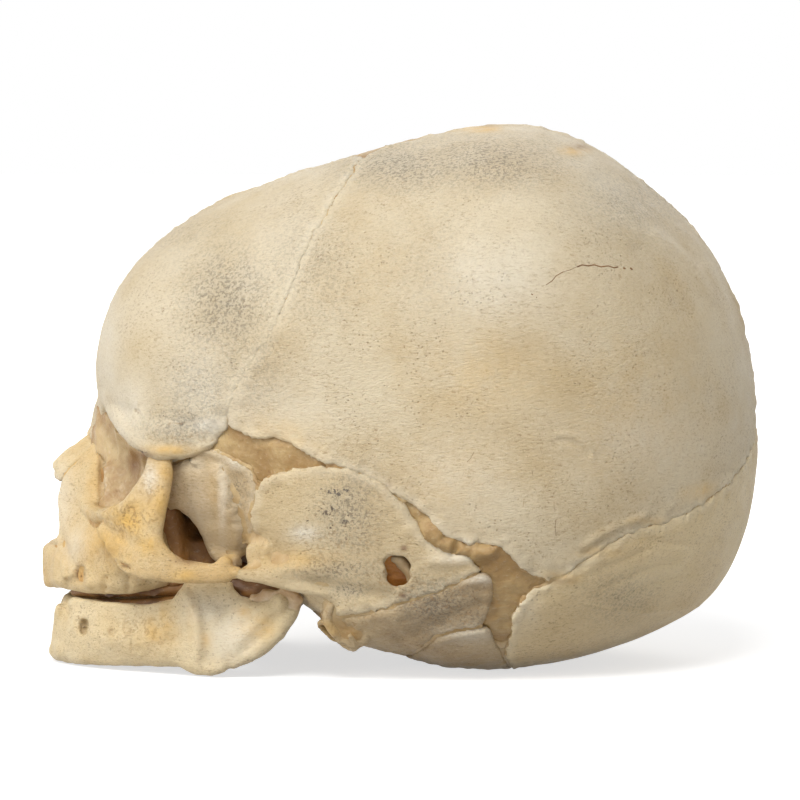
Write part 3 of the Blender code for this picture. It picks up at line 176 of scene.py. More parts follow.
def change(piece, kind, **settings):
    """Adds a modifier, sets it and applies it, as one step of shaping."""
    only(piece)
    bpy.ops.object.modifier_add(type=kind)
    made = piece.modifiers[-1]
    for key, value in settings.items():
        setattr(made, key, value)
    bpy.ops.object.modifier_apply(modifier=made.name)


def lumped(piece, pattern, amount, level=0.5):
    """Raises and sinks a piece's skin by a pattern that is fixed in space."""
    change(
        piece, "DISPLACE", texture=pattern, texture_coords="LOCAL", direction="NORMAL",
        strength=amount, mid_level=level,
    )


def swollen(piece, amount):
    change(piece, "DISPLACE", direction="NORMAL", strength=amount, mid_level=0)


def fine_mesh(piece, voxel):
    change(piece, "REMESH", mode="VOXEL", voxel_size=voxel)


def softened(piece, rounds, factor=0.5):
    change(piece, "SMOOTH", factor=factor, iterations=rounds)


def points_of(piece):
    places = np.empty(len(piece.data.vertices) * 3)
    piece.data.vertices.foreach_get("co", places)
    return places.reshape(-1, 3)


def normals_of(piece):
    turned = np.empty(len(piece.data.vertices) * 3)
    piece.data.vertices.foreach_get("normal", turned)
    return turned.reshape(-1, 3)


def move_points(piece, places):
    piece.data.vertices.foreach_set("co", np.ascontiguousarray(places, float).ravel())
    piece.data.update()


def keep_value(piece, name, values):
    """Writes a number, or one for each point, on a piece for its material to read."""
    made = piece.data.attributes.get(name) or piece.data.attributes.new(name, "FLOAT", "POINT")
    made.data.foreach_set("value", np.full(len(piece.data.vertices), values, np.float32))


def merged(node):
    """A node's solid as one closed mesh, and the narrow faces round its plate's edge."""
    solid = bmesh.new()
    solid.from_mesh(nodes[node].data)
    solid.edges.layers.float.new("crease_edge")
    bmesh.ops.remove_doubles(solid, verts=solid.verts, dist=1e-6)
    sharp = {edge for edge in solid.edges if edge.calc_face_angle(0) > RIM_ANGLE}
    on_rim = {vert for edge in sharp for vert in edge.verts}
    narrow = set()
    for face in solid.faces:
        bases = [edge.calc_length() for edge in face.edges if edge in sharp]
        if bases and on_rim.issuperset(face.verts) and 2 * face.calc_area() / max(bases) < WALL_RISE:
            narrow.add(face)
    strips = []
    rest = set(narrow)
    while rest:
        strip = [rest.pop()]
        for face in strip:
            for edge in face.edges:
                beside = [other for other in edge.link_faces if other in rest and edge not in sharp]
                rest.difference_update(beside)
                strip.extend(beside)
        strips.append(strip)
    longest = max(map(len, strips), default=0)
    walls = [face for strip in strips if len(strip) >= WALL_SHARE * longest for face in strip]
    solid.faces.index_update()
    walls.sort(key=lambda face: face.index)
    return solid, walls, sharp


def wall_samples(walls):
    """Points spread over the edge walls, each with the way its wall faces."""
    places = []
    facing = []
    for face in walls:
        for edge in face.edges:
            start, end = (vert.co for vert in edge.verts)
            count = max(2, int(edge.calc_length() / RIM_STEP))
            for share in np.linspace(0, 1, count):
                places.append(start.lerp(end, share))
                facing.append(face.normal.copy())
    return np.array(places), np.array(facing)


def placed(x, y, out):
    """The point that shows at a pixel and lies this many millimetres out to the skull's left."""
    ray = camera_turn @ (x - FRAME_PIXELS / 2, FRAME_PIXELS / 2 - y, -FOCAL_PIXELS)
    return camera_place - ray * (out / 1000 + camera_place[1]) / ray[1]


def rods(name, lines, side=1):
    """Round tapered rods through drawn pixels: each point is x, y, millimetres out and radius."""
    curve = bpy.data.curves.new(name, "CURVE")
    curve.dimensions = "3D"
    curve.bevel_depth = 0.001
    curve.bevel_resolution = 2
    curve.use_fill_caps = True
    for line in lines:
        run = curve.splines.new("POLY")
        run.points.add(len(line) - 1)
        for point, (x, y, out, radius) in zip(run.points, line):
            place = placed(x, y, out)
            point.co = (place[0], side * place[1], place[2], 1)
            point.radius = radius
    only(added_to_scene(name, curve))
    bpy.ops.object.convert(target="MESH")
    return bpy.context.object


def side_of(name):
    return -1 if name.endswith("right") else 1


CUT_RAGGED = 0.0005
CUT_LEAST_LEFT = 0.8


def rounded(node, name, levels, crease, voxel, smoothing=3, added=(), cut=()):
    """A rounded copy of a node's solid on a fine even mesh, and samples of its edge walls. Rods are
    fused on or cut away before it is remeshed. A cut that would take most of the piece is made again
    by the plainer solver."""
    solid, walls, sharp = merged(node)
    edges_of_walls = {edge for face in walls for edge in face.edges}
    creases = solid.edges.layers.float["crease_edge"]
    for edge in sharp & edges_of_walls:
        edge[creases] = crease
    samples = wall_samples(walls)
    mesh = bpy.data.meshes.new(name)
    solid.to_mesh(mesh)
    solid.free()
    piece = added_to_scene(name, mesh)
    change(piece, "SUBSURF", levels=levels, render_levels=levels)
    if added:
        extra = rods(name + "_added", added, side_of(node))
        only(piece)
        extra.select_set(True)
        bpy.ops.object.join()
    fine_mesh(piece, voxel)
    if cut:
        cutter = rods(name + "_cutter", cut, side_of(node))
        fine_mesh(cutter, voxel)
        lumped(cutter, muscle_lumps, CUT_RAGGED)
        whole = piece.data.copy()
        change(piece, "BOOLEAN", operation="DIFFERENCE", object=cutter, solver="EXACT")
        if len(piece.data.vertices) < CUT_LEAST_LEFT * len(whole.vertices):
            piece.data = whole
            change(piece, "BOOLEAN", operation="DIFFERENCE", object=cutter, solver="FAST")
        bpy.data.objects.remove(cutter)
        fine_mesh(piece, voxel)
    softened(piece, smoothing)
    only(piece)
    bpy.ops.object.shade_smooth()
    return piece, samples


def nearest_of(points, targets):
    """The distance from each point to the nearest target, and which target it is."""
    tree = KDTree(len(targets))
    for index, target in enumerate(targets):
        tree.insert(target, index)
    tree.balance()
    found = [tree.find(point)[1:] for point in points]
    return np.array([gap for _, gap in found]), np.array([index for index, _ in found])


def clouds(name, size, depth):
    made = bpy.data.textures.new(name, "CLOUDS")
    made.cloud_type = "COLOR"
    made.noise_scale = size
    made.noise_depth = depth
    return made


crinkles = clouds("crinkles", CRINKLE_SIZE, 1)
muscle_lumps = clouds("muscle_lumps", 0.0030, 2)
waves = clouds("waves", WAVE_SIZE, 1)


def crinkle(piece, weights):
    """Shifts the rims by one pattern in space, so that bones that meet still fit."""
    group = piece.vertex_groups.new(name="rim")
    for level in range(1, 11):
        chosen = np.flatnonzero(np.round(weights * 10) == level)
        group.add(chosen.tolist(), level / 10, "REPLACE")
    for pattern, amount in ((waves, WAVE), (crinkles, CRINKLE)):
        change(
            piece, "DISPLACE", texture=pattern, texture_coords="LOCAL", direction="RGB_TO_XYZ",
            strength=amount, mid_level=0.5, vertex_group="rim",
        )
    piece.vertex_groups.clear()


def from_line(at, path):
    """How many pixels each point is from a drawn line."""
    nearest = np.full(len(at), 1e3)
    for start, end in zip(np.array(path[:-1], float), np.array(path[1:], float)):
        run = end - start
        share = np.clip((at - start) @ run / (run @ run), 0, 1)
        nearest = np.minimum(nearest, np.linalg.norm(at - start - share[:, None] * run, axis=1))
    return nearest


def brush(piece, strokes):
    """Raises or sinks the outer skin along drawn lines: the pixels of the line, its half width in
    pixels and the height in millimetres."""
    places = points_of(piece)
    facing = normals_of(piece)
    outer = (facing * np.where(places[:, 1:2] > 0, (1, -1, 1), (1, 1, 1))) @ np.array(towards_camera)
    at = seen_at(places)
    height = np.zeros(len(places))
    for path, reach, rise in strokes:
        height += rise / 1000 * np.exp(-((from_line(at, path) / reach) ** 2))
    move_points(piece, places + (height * np.clip(3 * outer, 0, 1))[:, None] * facing)


def patches(at, spots):
    """How strongly each pixel lies in soft spots: centre, reach across and down, strength."""
    total = np.zeros(len(at))
    for x, y, across, down, strength in spots:
        reach = ((at[:, 0] - x) / across) ** 2 + ((at[:, 1] - y) / down) ** 2
        total = np.maximum(total, strength * np.exp(-reach))
    return total


GREY_SPOTS = (
    (225, 300, 45, 60, 0.8), (200, 395, 40, 50, 0.6), (180, 425, 38, 16, 1.0), (250, 360, 40, 60, 0.5),
    (400, 165, 70, 26, 0.9), (490, 160, 80, 30, 0.85), (640, 200, 70, 40, 0.5), (310, 270, 60, 70, 0.4),
    (180, 230, 70, 30, 0.35), (430, 260, 60, 80, 0.25), (350, 510, 34, 45, 0.8),
    (330, 568, 45, 12, 0.9), (350, 590, 18, 9, 1.0), (435, 605, 40, 28, 0.9), (620, 600, 40, 30, 0.5),
    (470, 620, 30, 18, 0.6), (236, 490, 14, 26, 0.7),
)
BLACK_SPOTS = (
    (336, 493, 13, 6, 1.0), (346, 490, 5, 4, 1.0), (326, 512, 9, 8, 0.9), (333, 508, 4, 4, 1.0),
    (345, 520, 9, 9, 0.9), (348, 500, 9, 6, 0.7), (356, 500, 12, 10, 0.5), (330, 527, 5, 3, 1.0),
    (309, 522, 3, 3, 1.0), (310, 505, 4, 4, 0.8), (322, 488, 3, 3, 0.8), (345, 538, 8, 6, 0.6),
    (181, 425, 10, 8, 0.7), (165, 418, 8, 8, 0.5), (141, 452, 8, 3, 1.0), (130, 450, 12, 2.5, 0.8),
)
YELLOW_SPOTS = (
    (480, 128, 24, 5, 0.8), (575, 150, 14, 5, 0.8), (560, 578, 18, 6, 0.9), (600, 552, 20, 6, 0.6),
    (650, 522, 20, 5, 0.6), (700, 492, 18, 9, 0.5), (210, 500, 26, 40, 0.3), (280, 443, 40, 26, 0.5),
    (130, 520, 26, 20, 1.0), (108, 548, 30, 24, 0.8), (165, 474, 8, 8, 1.0), (146, 545, 20, 10, 0.9),
    (175, 450, 26, 5, 0.9), (160, 500, 8, 22, 0.7), (255, 628, 20, 12, 1.0), (160, 632, 16, 16, 0.9),
    (192, 620, 6, 20, 0.5), (480, 370, 80, 40, 0.25), (640, 400, 80, 90, 0.22), (450, 480, 60, 40, 0.2),
    (186, 575, 14, 6, 0.7), (165, 625, 10, 20, 0.9), (206, 640, 6, 8, 0.8), (243, 612, 10, 8, 1.0),
    (330, 630, 14, 10, 0.6), (300, 560, 40, 10, 0.5), (95, 480, 8, 30, 0.5), (230, 556, 10, 5, 0.7),
)
# Brown: stains, pits and seams, and also painted shadow under the brow over the orbit at (136, 464) and
# (142, 456).
BROWN_AND_PAINTED_SHADOW_SPOTS = (
    (484, 125, 14, 2, 0.5), (580, 147, 10, 3, 0.6), (136, 464, 9, 8, 0.7), (142, 456, 10, 5, 0.9),
    (108, 552, 12, 9, 0.3), (560, 580, 12, 3, 0.5), (396, 576, 9, 8, 0.9), (80, 574, 4, 6, 1.0),
    (404, 548, 4, 3, 1.0), (403, 596, 4, 3, 1.0), (83, 627, 3, 5, 0.6), (236, 562, 6, 4, 0.6),
    (186, 560, 12, 5, 0.8), (125, 566, 5, 2, 0.9), (110, 632, 3, 3, 0.5), (388, 486, 3, 5, 0.6),
)
POROUS_SPOTS = (
    (130, 520, 30, 22, 1.0), (150, 490, 14, 20, 0.6), (396, 575, 30, 26, 0.9), (410, 600, 26, 16, 0.8),
    (330, 545, 60, 40, 0.5), (440, 600, 40, 30, 0.7), (150, 632, 40, 26, 0.6), (110, 560, 40, 20, 0.5),
    (190, 440, 30, 8, 0.6), (470, 610, 30, 30, 0.5), (340, 620, 40, 20, 0.6),
)
# White: pale bone and white flecks, and also a painted highlight on the left parietal at (500, 282) and
# painted light on the shaded ramus of the jaw at (230, 635).
WHITE_AND_PAINTED_LIGHT_SPOTS = (
    (304, 533, 14, 8, 1.0), (454, 545, 20, 5, 0.9), (458, 558, 26, 6, 0.7), (481, 579, 16, 5, 0.8),
    (524, 608, 16, 22, 0.4), (468, 634, 28, 8, 0.6), (236, 460, 10, 8, 0.7), (222, 500, 5, 40, 0.6),
    (198, 505, 16, 50, 0.35), (500, 282, 66, 50, 0.5), (205, 390, 40, 50, 0.4), (150, 478, 12, 16, 0.5),
    (60, 500, 14, 40, 0.6), (210, 425, 22, 10, 0.9), (260, 405, 60, 30, 0.3), (110, 340, 14, 60, 0.5),
    (230, 635, 26, 30, 0.8), (450, 480, 60, 40, 0.3), (640, 440, 60, 40, 0.4), (210, 610, 26, 16, 0.7),
    (105, 480, 5, 22, 0.4), (120, 488, 4, 16, 0.3), (150, 478, 8, 14, 0.9), (130, 400, 20, 30, 0.5),
    (200, 604, 20, 14, 0.5), (75, 545, 14, 20, 0.5),
)


def stain(piece):
    """Marks where the photograph shows grey, yellow, brown and white bone. The white marks also hold a
    painted highlight on the left parietal and painted light on the jaw's shaded ramus; the brown marks also
    hold painted shadow under the brow.
    """
    at = seen_at(points_of(piece))
    for name, spots in (
        ("grey", GREY_SPOTS), ("black", BLACK_SPOTS), ("yellow", YELLOW_SPOTS), ("brown", BROWN_AND_PAINTED_SHADOW_SPOTS),
        ("white", WHITE_AND_PAINTED_LIGHT_SPOTS), ("porous", POROUS_SPOTS),
    ):
        keep_value(piece, name, patches(at, spots))


def tone(red, green, blue):
    """A colour as read off a screen, made linear, with full alpha."""
    return tuple(np.power((np.array((red, green, blue)) / 255 + 0.055) / 1.055, 2.4)) + (1,)


def step(tree, kind, inputs, **settings):
    """Adds one node, sets it, and fills or links its inputs."""
    made = tree.nodes.new("ShaderNode" + kind)
    for key, value in settings.items():
        setattr(made, key, value)
    for socket, value in inputs.items():
        if isinstance(value, bpy.types.NodeSocket):
            tree.links.new(value, made.inputs[socket])
        else:
            made.inputs[socket].default_value = value
    return made


def marked(tree, name):
    return step(tree, "Attribute", {}, attribute_name=name).outputs["Fac"]


def ranged(tree, value, low, high, to_low=0.0, to_high=1.0):
    return step(tree, "MapRange", {
        "Value": value, "From Min": low, "From Max": high, "To Min": to_low, "To Max": to_high,
    }, interpolation_type="SMOOTHSTEP").outputs["Result"]


def times(tree, a, b):
    return step(tree, "Math", {0: a, 1: b}, operation="MULTIPLY").outputs[0]


def plus(tree, a, b):
    return step(tree, "Math", {0: a, 1: b}, operation="ADD").outputs[0]


def tint(tree, under, over, share):
    made = step(tree, "Mix", {}, data_type="RGBA")
    for socket, value in ((6, under), (7, over), (0, share)):
        if isinstance(value, bpy.types.NodeSocket):
            tree.links.new(value, made.inputs[socket])
        else:
            made.inputs[socket].default_value = value
    return made.outputs[2]


def cloudy(tree, at, scale, detail=3.0, rough=0.55):
    return step(tree, "TexNoise", {
        "Vector": at, "Scale": scale, "Detail": detail, "Roughness": rough,
    }).outputs["Fac"]


def blank_surface(name):
    """A new material, its nodes, its shader and the place on the piece."""
    surface = bpy.data.materials.new(name)
    surface.use_nodes = True
    tree = surface.node_tree
    return surface, tree, tree.nodes["Principled BSDF"], step(tree, "TexCoord", {}).outputs["Object"]


LIP = tone(236, 224, 198)
SEAM_BROWN = tone(150, 112, 66)
PORE_BROWN = tone(140, 108, 68)
SPECK_GREY = tone(98, 88, 72)
SOOT = tone(72, 68, 66)
ASH = tone(178, 166, 144)
AMBER = tone(224, 180, 96)
# Dark brown for stains and fibres, also used as painted shadow under the brow.
DARK_BROWN_AND_SHADE = tone(112, 70, 30)
# Pale white for chalky bone and flecks, also used as a painted highlight and painted light.
PALE_AND_PAINTED_LIGHT = tone(240, 233, 216)
HOLLOW = tone(170, 126, 66)


def bone_finish(name, ivory, tan, centre, grain_scale=1000.0, slant=0.45, warmth=1.0, roughness=0.52):
    """Dry bone: a fine fibrous grain over soft mottling, pores, and stains where they were marked; some
    white and brown marks are painted highlight, painted light and painted shadow.
    """
    surface, tree, shader, at = blank_surface(name)
    away = step(tree, "VectorMath", {0: at, 1: centre}, operation="SUBTRACT").outputs[0]
    bearing = step(tree, "VectorMath", {0: away}, operation="NORMALIZE").outputs[0]
    reach = step(tree, "VectorMath", {0: away}, operation="LENGTH").outputs["Value"]
    streak = step(tree, "TexNoise", {
        "Vector": bearing, "W": times(tree, reach, 8.0), "Scale": 150.0, "Detail": 3.0, "Roughness": 0.6,
    }, noise_dimensions="4D").outputs["Fac"]
    laid = step(tree, "Mapping", {
        "Vector": at, "Rotation": (0.0, slant, 0.0), "Scale": (1.0, 2.2, 3.0),
    }).outputs[0]
    fibre = step(tree, "TexNoise", {
        "Vector": laid, "Scale": grain_scale, "Detail": 6.0, "Roughness": 0.74, "Distortion": 0.5,
    }).outputs["Fac"]
    broad = cloudy(tree, at, 48.0, 5.0, 0.6)
    middle = cloudy(tree, at, 260.0, 5.0, 0.65)
    fine = cloudy(tree, at, 1900.0, 4.0, 0.7)
    cells = step(tree, "TexVoronoi", {"Vector": at, "Scale": 1300.0}).outputs["Distance"]
    porous_parts = ranged(tree, cloudy(tree, at, 120.0, 3.0), 0.48, 0.62)
    pores = times(tree, ranged(tree, cells, 0.26, 0.10), porous_parts)

    worn = ranged(tree, cloudy(tree, at, 90.0, 3.0), 0.36, 0.62, 0.35, 1.0)
    grey = marked(tree, "grey")
    speckle = times(tree, grey, ranged(tree, fine, 0.47, 0.60))
    yellow = times(tree, marked(tree, "yellow"), warmth)
    flecks = cloudy(tree, at, 1500.0, 3.0, 0.7)
    soot = ranged(tree, plus(tree, times(tree, marked(tree, "black"), 0.34), flecks), 0.76, 0.86)
    open_pores = times(tree, marked(tree, "porous"), ranged(tree, flecks, 0.52, 0.62))
    rim = marked(tree, "rim")
    colour = tint(tree, ivory, tan, ranged(tree, broad, 0.30, 0.74))
    for over, mark, share in (
        (LIP, ranged(tree, fibre, 0.52, 0.70), 0.30),
        (PORE_BROWN, times(tree, ranged(tree, fibre, 0.47, 0.36), worn), 0.55),
        (PORE_BROWN, times(tree, ranged(tree, streak, 0.57, 0.68), worn), 0.40),
        (PORE_BROWN, ranged(tree, fine, 0.43, 0.30), 0.22),
        (PORE_BROWN, pores, 0.5),
        (ASH, grey, ranged(tree, middle, 0.3, 0.6, 0.15, 0.55)),
        (SPECK_GREY, speckle, 0.75),
        (AMBER, yellow, ranged(tree, middle, 0.30, 0.66, 0.3, 0.9)),
        # White marks: pale bone, and the painted highlight and painted light.
        (PALE_AND_PAINTED_LIGHT, marked(tree, "white"), ranged(tree, fibre, 0.30, 0.60, 0.4, 0.8)),
        (SOOT, soot, 0.85),
        # Brown marks: stains, and the painted shadow under the brow.
        (DARK_BROWN_AND_SHADE, marked(tree, "brown"), ranged(tree, middle, 0.3, 0.6, 0.6, 1.0)),
        (HOLLOW, open_pores, 0.6),
        (LIP, ranged(tree, rim, 1.8, 0.4), 0.25),
        (SEAM_BROWN, ranged(tree, rim, 0.34, 0.05), 0.6),
    ):
        colour = tint(tree, colour, over, times(tree, mark, share))
    tree.links.new(colour, shader.inputs["Base Color"])

    height = times(tree, fine, 0.20)
    for pattern, share in (
        (fibre, 0.9), (streak, 0.25), (middle, 0.5), (pores, -0.5), (speckle, -0.3), (open_pores, -0.7),
    ):
        height = plus(tree, height, times(tree, pattern, share))
    bump = step(tree, "Bump", {"Height": height, "Strength": 0.8, "Distance": 0.00044})
    tree.links.new(bump.outputs["Normal"], shader.inputs["Normal"])
    dullness = ranged(tree, middle, 0.3, 0.7, roughness - 0.07, roughness + 0.08)
    tree.links.new(dullness, shader.inputs["Roughness"])
    shader.inputs["Subsurface Weight"].default_value = 0.12
    shader.inputs["Subsurface Radius"].default_value = (1.0, 0.75, 0.45)
    shader.inputs["Subsurface Scale"].default_value = 0.0014
    return surface


PLATE_TONES = {
    "parietal": (tone(213, 198, 168), tone(196, 174, 134)),
    "frontal": (tone(216, 202, 174), tone(200, 180, 142)),
    "occipital": (tone(232, 211, 168), tone(212, 186, 138)),
    "temporal": (tone(217, 197, 158), tone(198, 174, 130)),
    "sphenoid": (tone(208, 188, 152), tone(188, 160, 116)),
}
PLATE_STROKES = {
    "parietal": (
        (((585, 545), (600, 535), (620, 525), (645, 515)), 3.5, 0.35),
        (((583, 553), (600, 543), (622, 532), (648, 521)), 3, -0.25),
        (((556, 435), (572, 436), (583, 441), (592, 450), (593, 457)), 2.4, 0.30),
        (((558, 440), (572, 441), (580, 446), (588, 455)), 3, -0.25),
        (((640, 250), (668, 275), (690, 310)), 8, -0.35),
        (((655, 235), (690, 262), (712, 300)), 6, 0.30),
        (((237, 433), (255, 441), (295, 449), (330, 463)), 4, 0.25),
        (((440, 545), (472, 542)), 4, 0.35), (((600, 175), (650, 205), (700, 260)), 7, -0.30),
    ),
    "frontal": (
        (((106, 395), (122, 425), (140, 446), (160, 452)), 5, 0.30),
        (((215, 400), (205, 430)), 8, 0.30), (((225, 395), (245, 340), (285, 265)), 7, -0.25),
        (((150, 415), (185, 430)), 12, -0.30),
    ),
    "temporal": (
        (((256, 486), (280, 474), (320, 466), (352, 469), (378, 482), (404, 512), (420, 538)), 6, 0.40),
        (((290, 578), (340, 590), (385, 596)), 8, -0.55), (((300, 545), (340, 552)), 14, -0.30),
        (((432, 562), (480, 558)), 5, 0.35),
    ),
    "occipital": (
        (((600, 590), (640, 572), (680, 560)), 2.6, -0.22),
        (((610, 600), (650, 585), (690, 574)), 2.6, -0.20),
        (((590, 606), (640, 612), (700, 606)), 3, 0.30),
        (((592, 572), (620, 562), (650, 548)), 2.6, -0.20),
        (((512, 585), (516, 610), (510, 632)), 6, 0.40),
        (((540, 560), (600, 540), (660, 510)), 5, -0.20),
        (((640, 540), (690, 545), (720, 540)), 3, -0.20),
    ),
    "sphenoid": (
        (((218, 468), (228, 500), (238, 545)), 5, 0.35), (((206, 470), (212, 520)), 8, -0.45),
        (((240, 480), (246, 520)), 7, -0.35),
    ),
}
PLATE_FORMS = {
    "frontal": (
        (
            (146, 449, 29.3, 1.2), (160, 453, 30.4, 1.6), (178, 451, 31, 1.8), (198, 447, 31.6, 1.4),
            (216, 438, 32.6, 1.0),
        ),
        ((108, 396, 9, 1.8), (103, 410, 5, 1.8), (99, 425, 3.6, 1.6), (96, 440, 3, 1.4)),
        ((112, 400, 14, 1.6), (124, 420, 19, 1.5), (138, 440, 26, 1.3), (152, 454, 29.6, 1.1)),
    ),
    "temporal": (
        (
            (222, 571, 33.2, 0.7), (236, 573, 33.8, 1.0), (250, 575, 34.3, 1.1), (275, 580, 34.6, 1.3),
            (302, 586, 34.6, 1.4), (335, 592, 34.2, 1.4),
        ),
        ((252, 544, 31.0, 1.2), (251, 556, 31.4, 1.2), (255, 568, 32.2, 1.1)),
        ((263, 546, 33, 1.3), (266, 560, 33, 1.3), (272, 572, 33.6, 1.3)),
    ),
    "sphenoid": (((212, 550, 25, 1.4), (226, 560, 25.6, 1.3), (240, 562, 27, 1.2)),),
}
PLATE_HOLES = {
    "temporal": tuple(((x, y, 46, radius), (x, y, 28, radius)) for x, y, radius in (
        (392, 567, 1.1), (399, 566, 1.1), (395, 574, 1.15), (401, 575, 1.1), (386, 561, 0.5),
        (389, 579, 0.5), (395, 584, 0.5), (404, 583, 0.5), (409, 577, 0.5), (409, 566, 0.55),
        (403, 558, 0.55), (393, 558, 0.45), (404, 547, 0.4), (408, 542, 0.35), (403, 597, 0.4),
    )),
    "sphenoid": tuple(((x, y, 36, radius), (x, y, 20, radius)) for x, y, radius in (
        (176, 516, 1.3), (184, 523, 1.4), (190, 532, 1.5), (195, 542, 1.5), (200, 552, 1.3),
        (206, 560, 1.0),
    )),
}
swells = clouds("swells", SWELL_SIZE, 2)
plates = {}
for node, centre in VAULT_PLATES.items():
    kind = node.split("_")[0]
    piece, (wall_places, wall_facing) = rounded(
        node, node + "_bone", PLATE_LEVELS, RIM_CREASE, PLATE_VOXEL,
        added=PLATE_FORMS.get(kind, ()), cut=PLATE_HOLES.get(kind, ()),
    )
    near, which = nearest_of(points_of(piece), wall_places)
    closed = patches(seen_at(points_of(piece)), CLOSED_SPOTS)
    growth = (LIP_GROWTH + CLOSED_GROWTH * closed) * np.clip(1.2 - near / LIP_REACH, 0, 1)
    move_points(piece, points_of(piece) + growth[:, None] * wall_facing[which])
    crinkle(piece, np.clip(1.15 - near / CRINKLE_REACH, 0, 1))
    lumped(piece, swells, SWELL, RAISED_LEVEL)
    brush(piece, PLATE_STROKES[kind])
    keep_value(piece, "rim", np.minimum(near * 1000, FAR_FROM_RIM))
    stain(piece)
    ivory, tan = PLATE_TONES[kind]
    piece.data.materials.append(bone_finish(node + "_finish", ivory, tan, centre))
    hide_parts(node)
    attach(piece, "cranium")
    plates[node] = piece

# The tissue in the sutures: dried membrane that fills the narrow gaps between the plates. It starts
# as the plates' edge walls, which are thickened until they meet, fused and worn smooth.
SEAM_WIDTH = 0.0009
SEAM_VOXEL = 0.00034
SEAM_REACH = 0.0026
SEAM_DIP = 0.0003
FONTANELLES = (
    "anterior_fontanelle", "posterior_fontanelle",
    "sphenoid_fontanelle_left", "sphenoid_fontanelle_right",
    "mastoid_fontanelle_left", "mastoid_fontanelle_right",
)


def inwards(piece):
    """The way from each point of a piece to the middle of the braincase."""
    run = np.array((0.005, 0, 0.045)) - points_of(piece)
    return run / np.linalg.norm(run, axis=1)[:, None]


walls_of = {}
for node in (*plates, *FONTANELLES):
    solid, walls, _ = merged(node)
    walls_of[node] = [[vert.co.copy() for vert in face.verts] for face in walls]
    solid.free()
seam_faces = []
for node in plates:
    beside = [group for other, group in walls_of.items() if other != node]
    others = [corner for group in beside for face in group for corner in face]
    middles = np.array([np.mean(face, axis=0) for face in walls_of[node]])
    near = nearest_of(middles, others)[0]
    seam_faces.extend(face for face, gap in zip(walls_of[node], near) if gap < SEAM_REACH)
corners = [tuple(corner) for face in seam_faces for corner in face]
seam_mesh = bpy.data.meshes.new("suture_tissue")
seam_mesh.from_pydata(corners, [], [tuple(range(3 * k, 3 * k + 3)) for k in range(len(seam_faces))])
seams = added_to_scene("suture_tissue", seam_mesh)
change(seams, "WELD", merge_threshold=1e-6)
change(seams, "SOLIDIFY", thickness=SEAM_WIDTH, offset=0)
fine_mesh(seams, SEAM_VOXEL)
softened(seams, 6)
crinkle(seams, np.ones(len(seams.data.vertices)))
move_points(seams, points_of(seams) + SEAM_DIP * inwards(seams))
only(seams)
bpy.ops.object.shade_smooth()


def tissue_finish(name, light, dark, roughness):
    """Dried membrane: amber and horny, darker where it is thick, with fine fibres."""
    surface, tree, shader, at = blank_surface(name)
    broad = cloudy(tree, at, 160.0, 4.0)
    fibre_at = step(tree, "Mapping", {
        "Vector": at, "Rotation": (0.5, 0.3, 0.9), "Scale": (1.0, 4.0, 1.6),
    }).outputs[0]
    fibres = cloudy(tree, fibre_at, 760.0, 5.0, 0.7)
    colour = tint(tree, light, dark, ranged(tree, broad, 0.32, 0.66))
    for over, mark, share in (
        (LIP, ranged(tree, fibres, 0.54, 0.76), 0.28),
        (DARK_BROWN_AND_SHADE, ranged(tree, fibres, 0.44, 0.28), 0.42),
        # Brown marks: stains, and on the orbit's lining painted shadow under the brow.
        (DARK_BROWN_AND_SHADE, marked(tree, "brown"), 0.85),
        (PALE_AND_PAINTED_LIGHT, marked(tree, "white"), ranged(tree, fibres, 0.4, 0.6, 0.1, 0.6)),
    ):
        colour = tint(tree, colour, over, times(tree, mark, share))
    tree.links.new(colour, shader.inputs["Base Color"])
    bump = step(tree, "Bump", {
        "Height": plus(tree, fibres, broad), "Strength": 0.6, "Distance": 0.0004,
    })
    tree.links.new(bump.outputs["Normal"], shader.inputs["Normal"])
    shader.inputs["Roughness"].default_value = roughness
    shader.inputs["Subsurface Weight"].default_value = 0.3
    shader.inputs["Subsurface Radius"].default_value = (1.0, 0.75, 0.4)
    shader.inputs["Subsurface Scale"].default_value = 0.0012
    return surface


seam_paint = tissue_finish("suture_tissue_finish", tone(204, 178, 132), tone(166, 132, 84), 0.5)
seams.data.materials.append(seam_paint)
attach(seams, "cranium")

# The fontanelles: tough membranes that close the gaps at the plates' corners. Dried out, they have
# shrunk tight, wrinkled and turned amber. Their edges run on under the bone.
MEMBRANE_VOXEL = 0.00030
MEMBRANE_GROWTH = 0.0018
MEMBRANE_DIP = 0.0002
MEMBRANE_REACH = 0.0024
MEMBRANE_SMOOTHING = 12
WRINKLE_SIZE = 0.0018
WRINKLE = 0.0003
wrinkles = clouds("wrinkles", WRINKLE_SIZE, 2)
membrane_paint = tissue_finish("fontanelle_finish", tone(186, 158, 108), tone(152, 118, 66), 0.42)
for node in FONTANELLES:
    piece, (wall_places, wall_facing) = rounded(node, node + "_membrane", 2, 0.3, MEMBRANE_VOXEL, 1)
    near, which = nearest_of(points_of(piece), wall_places)
    spread = np.clip(1 - near / MEMBRANE_REACH, 0, 1)[:, None]
    shift = MEMBRANE_GROWTH * wall_facing[which] + MEMBRANE_DIP * inwards(piece)
    move_points(piece, points_of(piece) + spread * shift)
    softened(piece, MEMBRANE_SMOOTHING, 0.6)
    crinkle(piece, np.clip(1.15 - near / CRINKLE_REACH, 0, 1))
    lumped(piece, wrinkles, WRINKLE, RAISED_LEVEL)
    piece.data.materials.append(membrane_paint)
    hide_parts(node)
    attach(piece, "cranium")

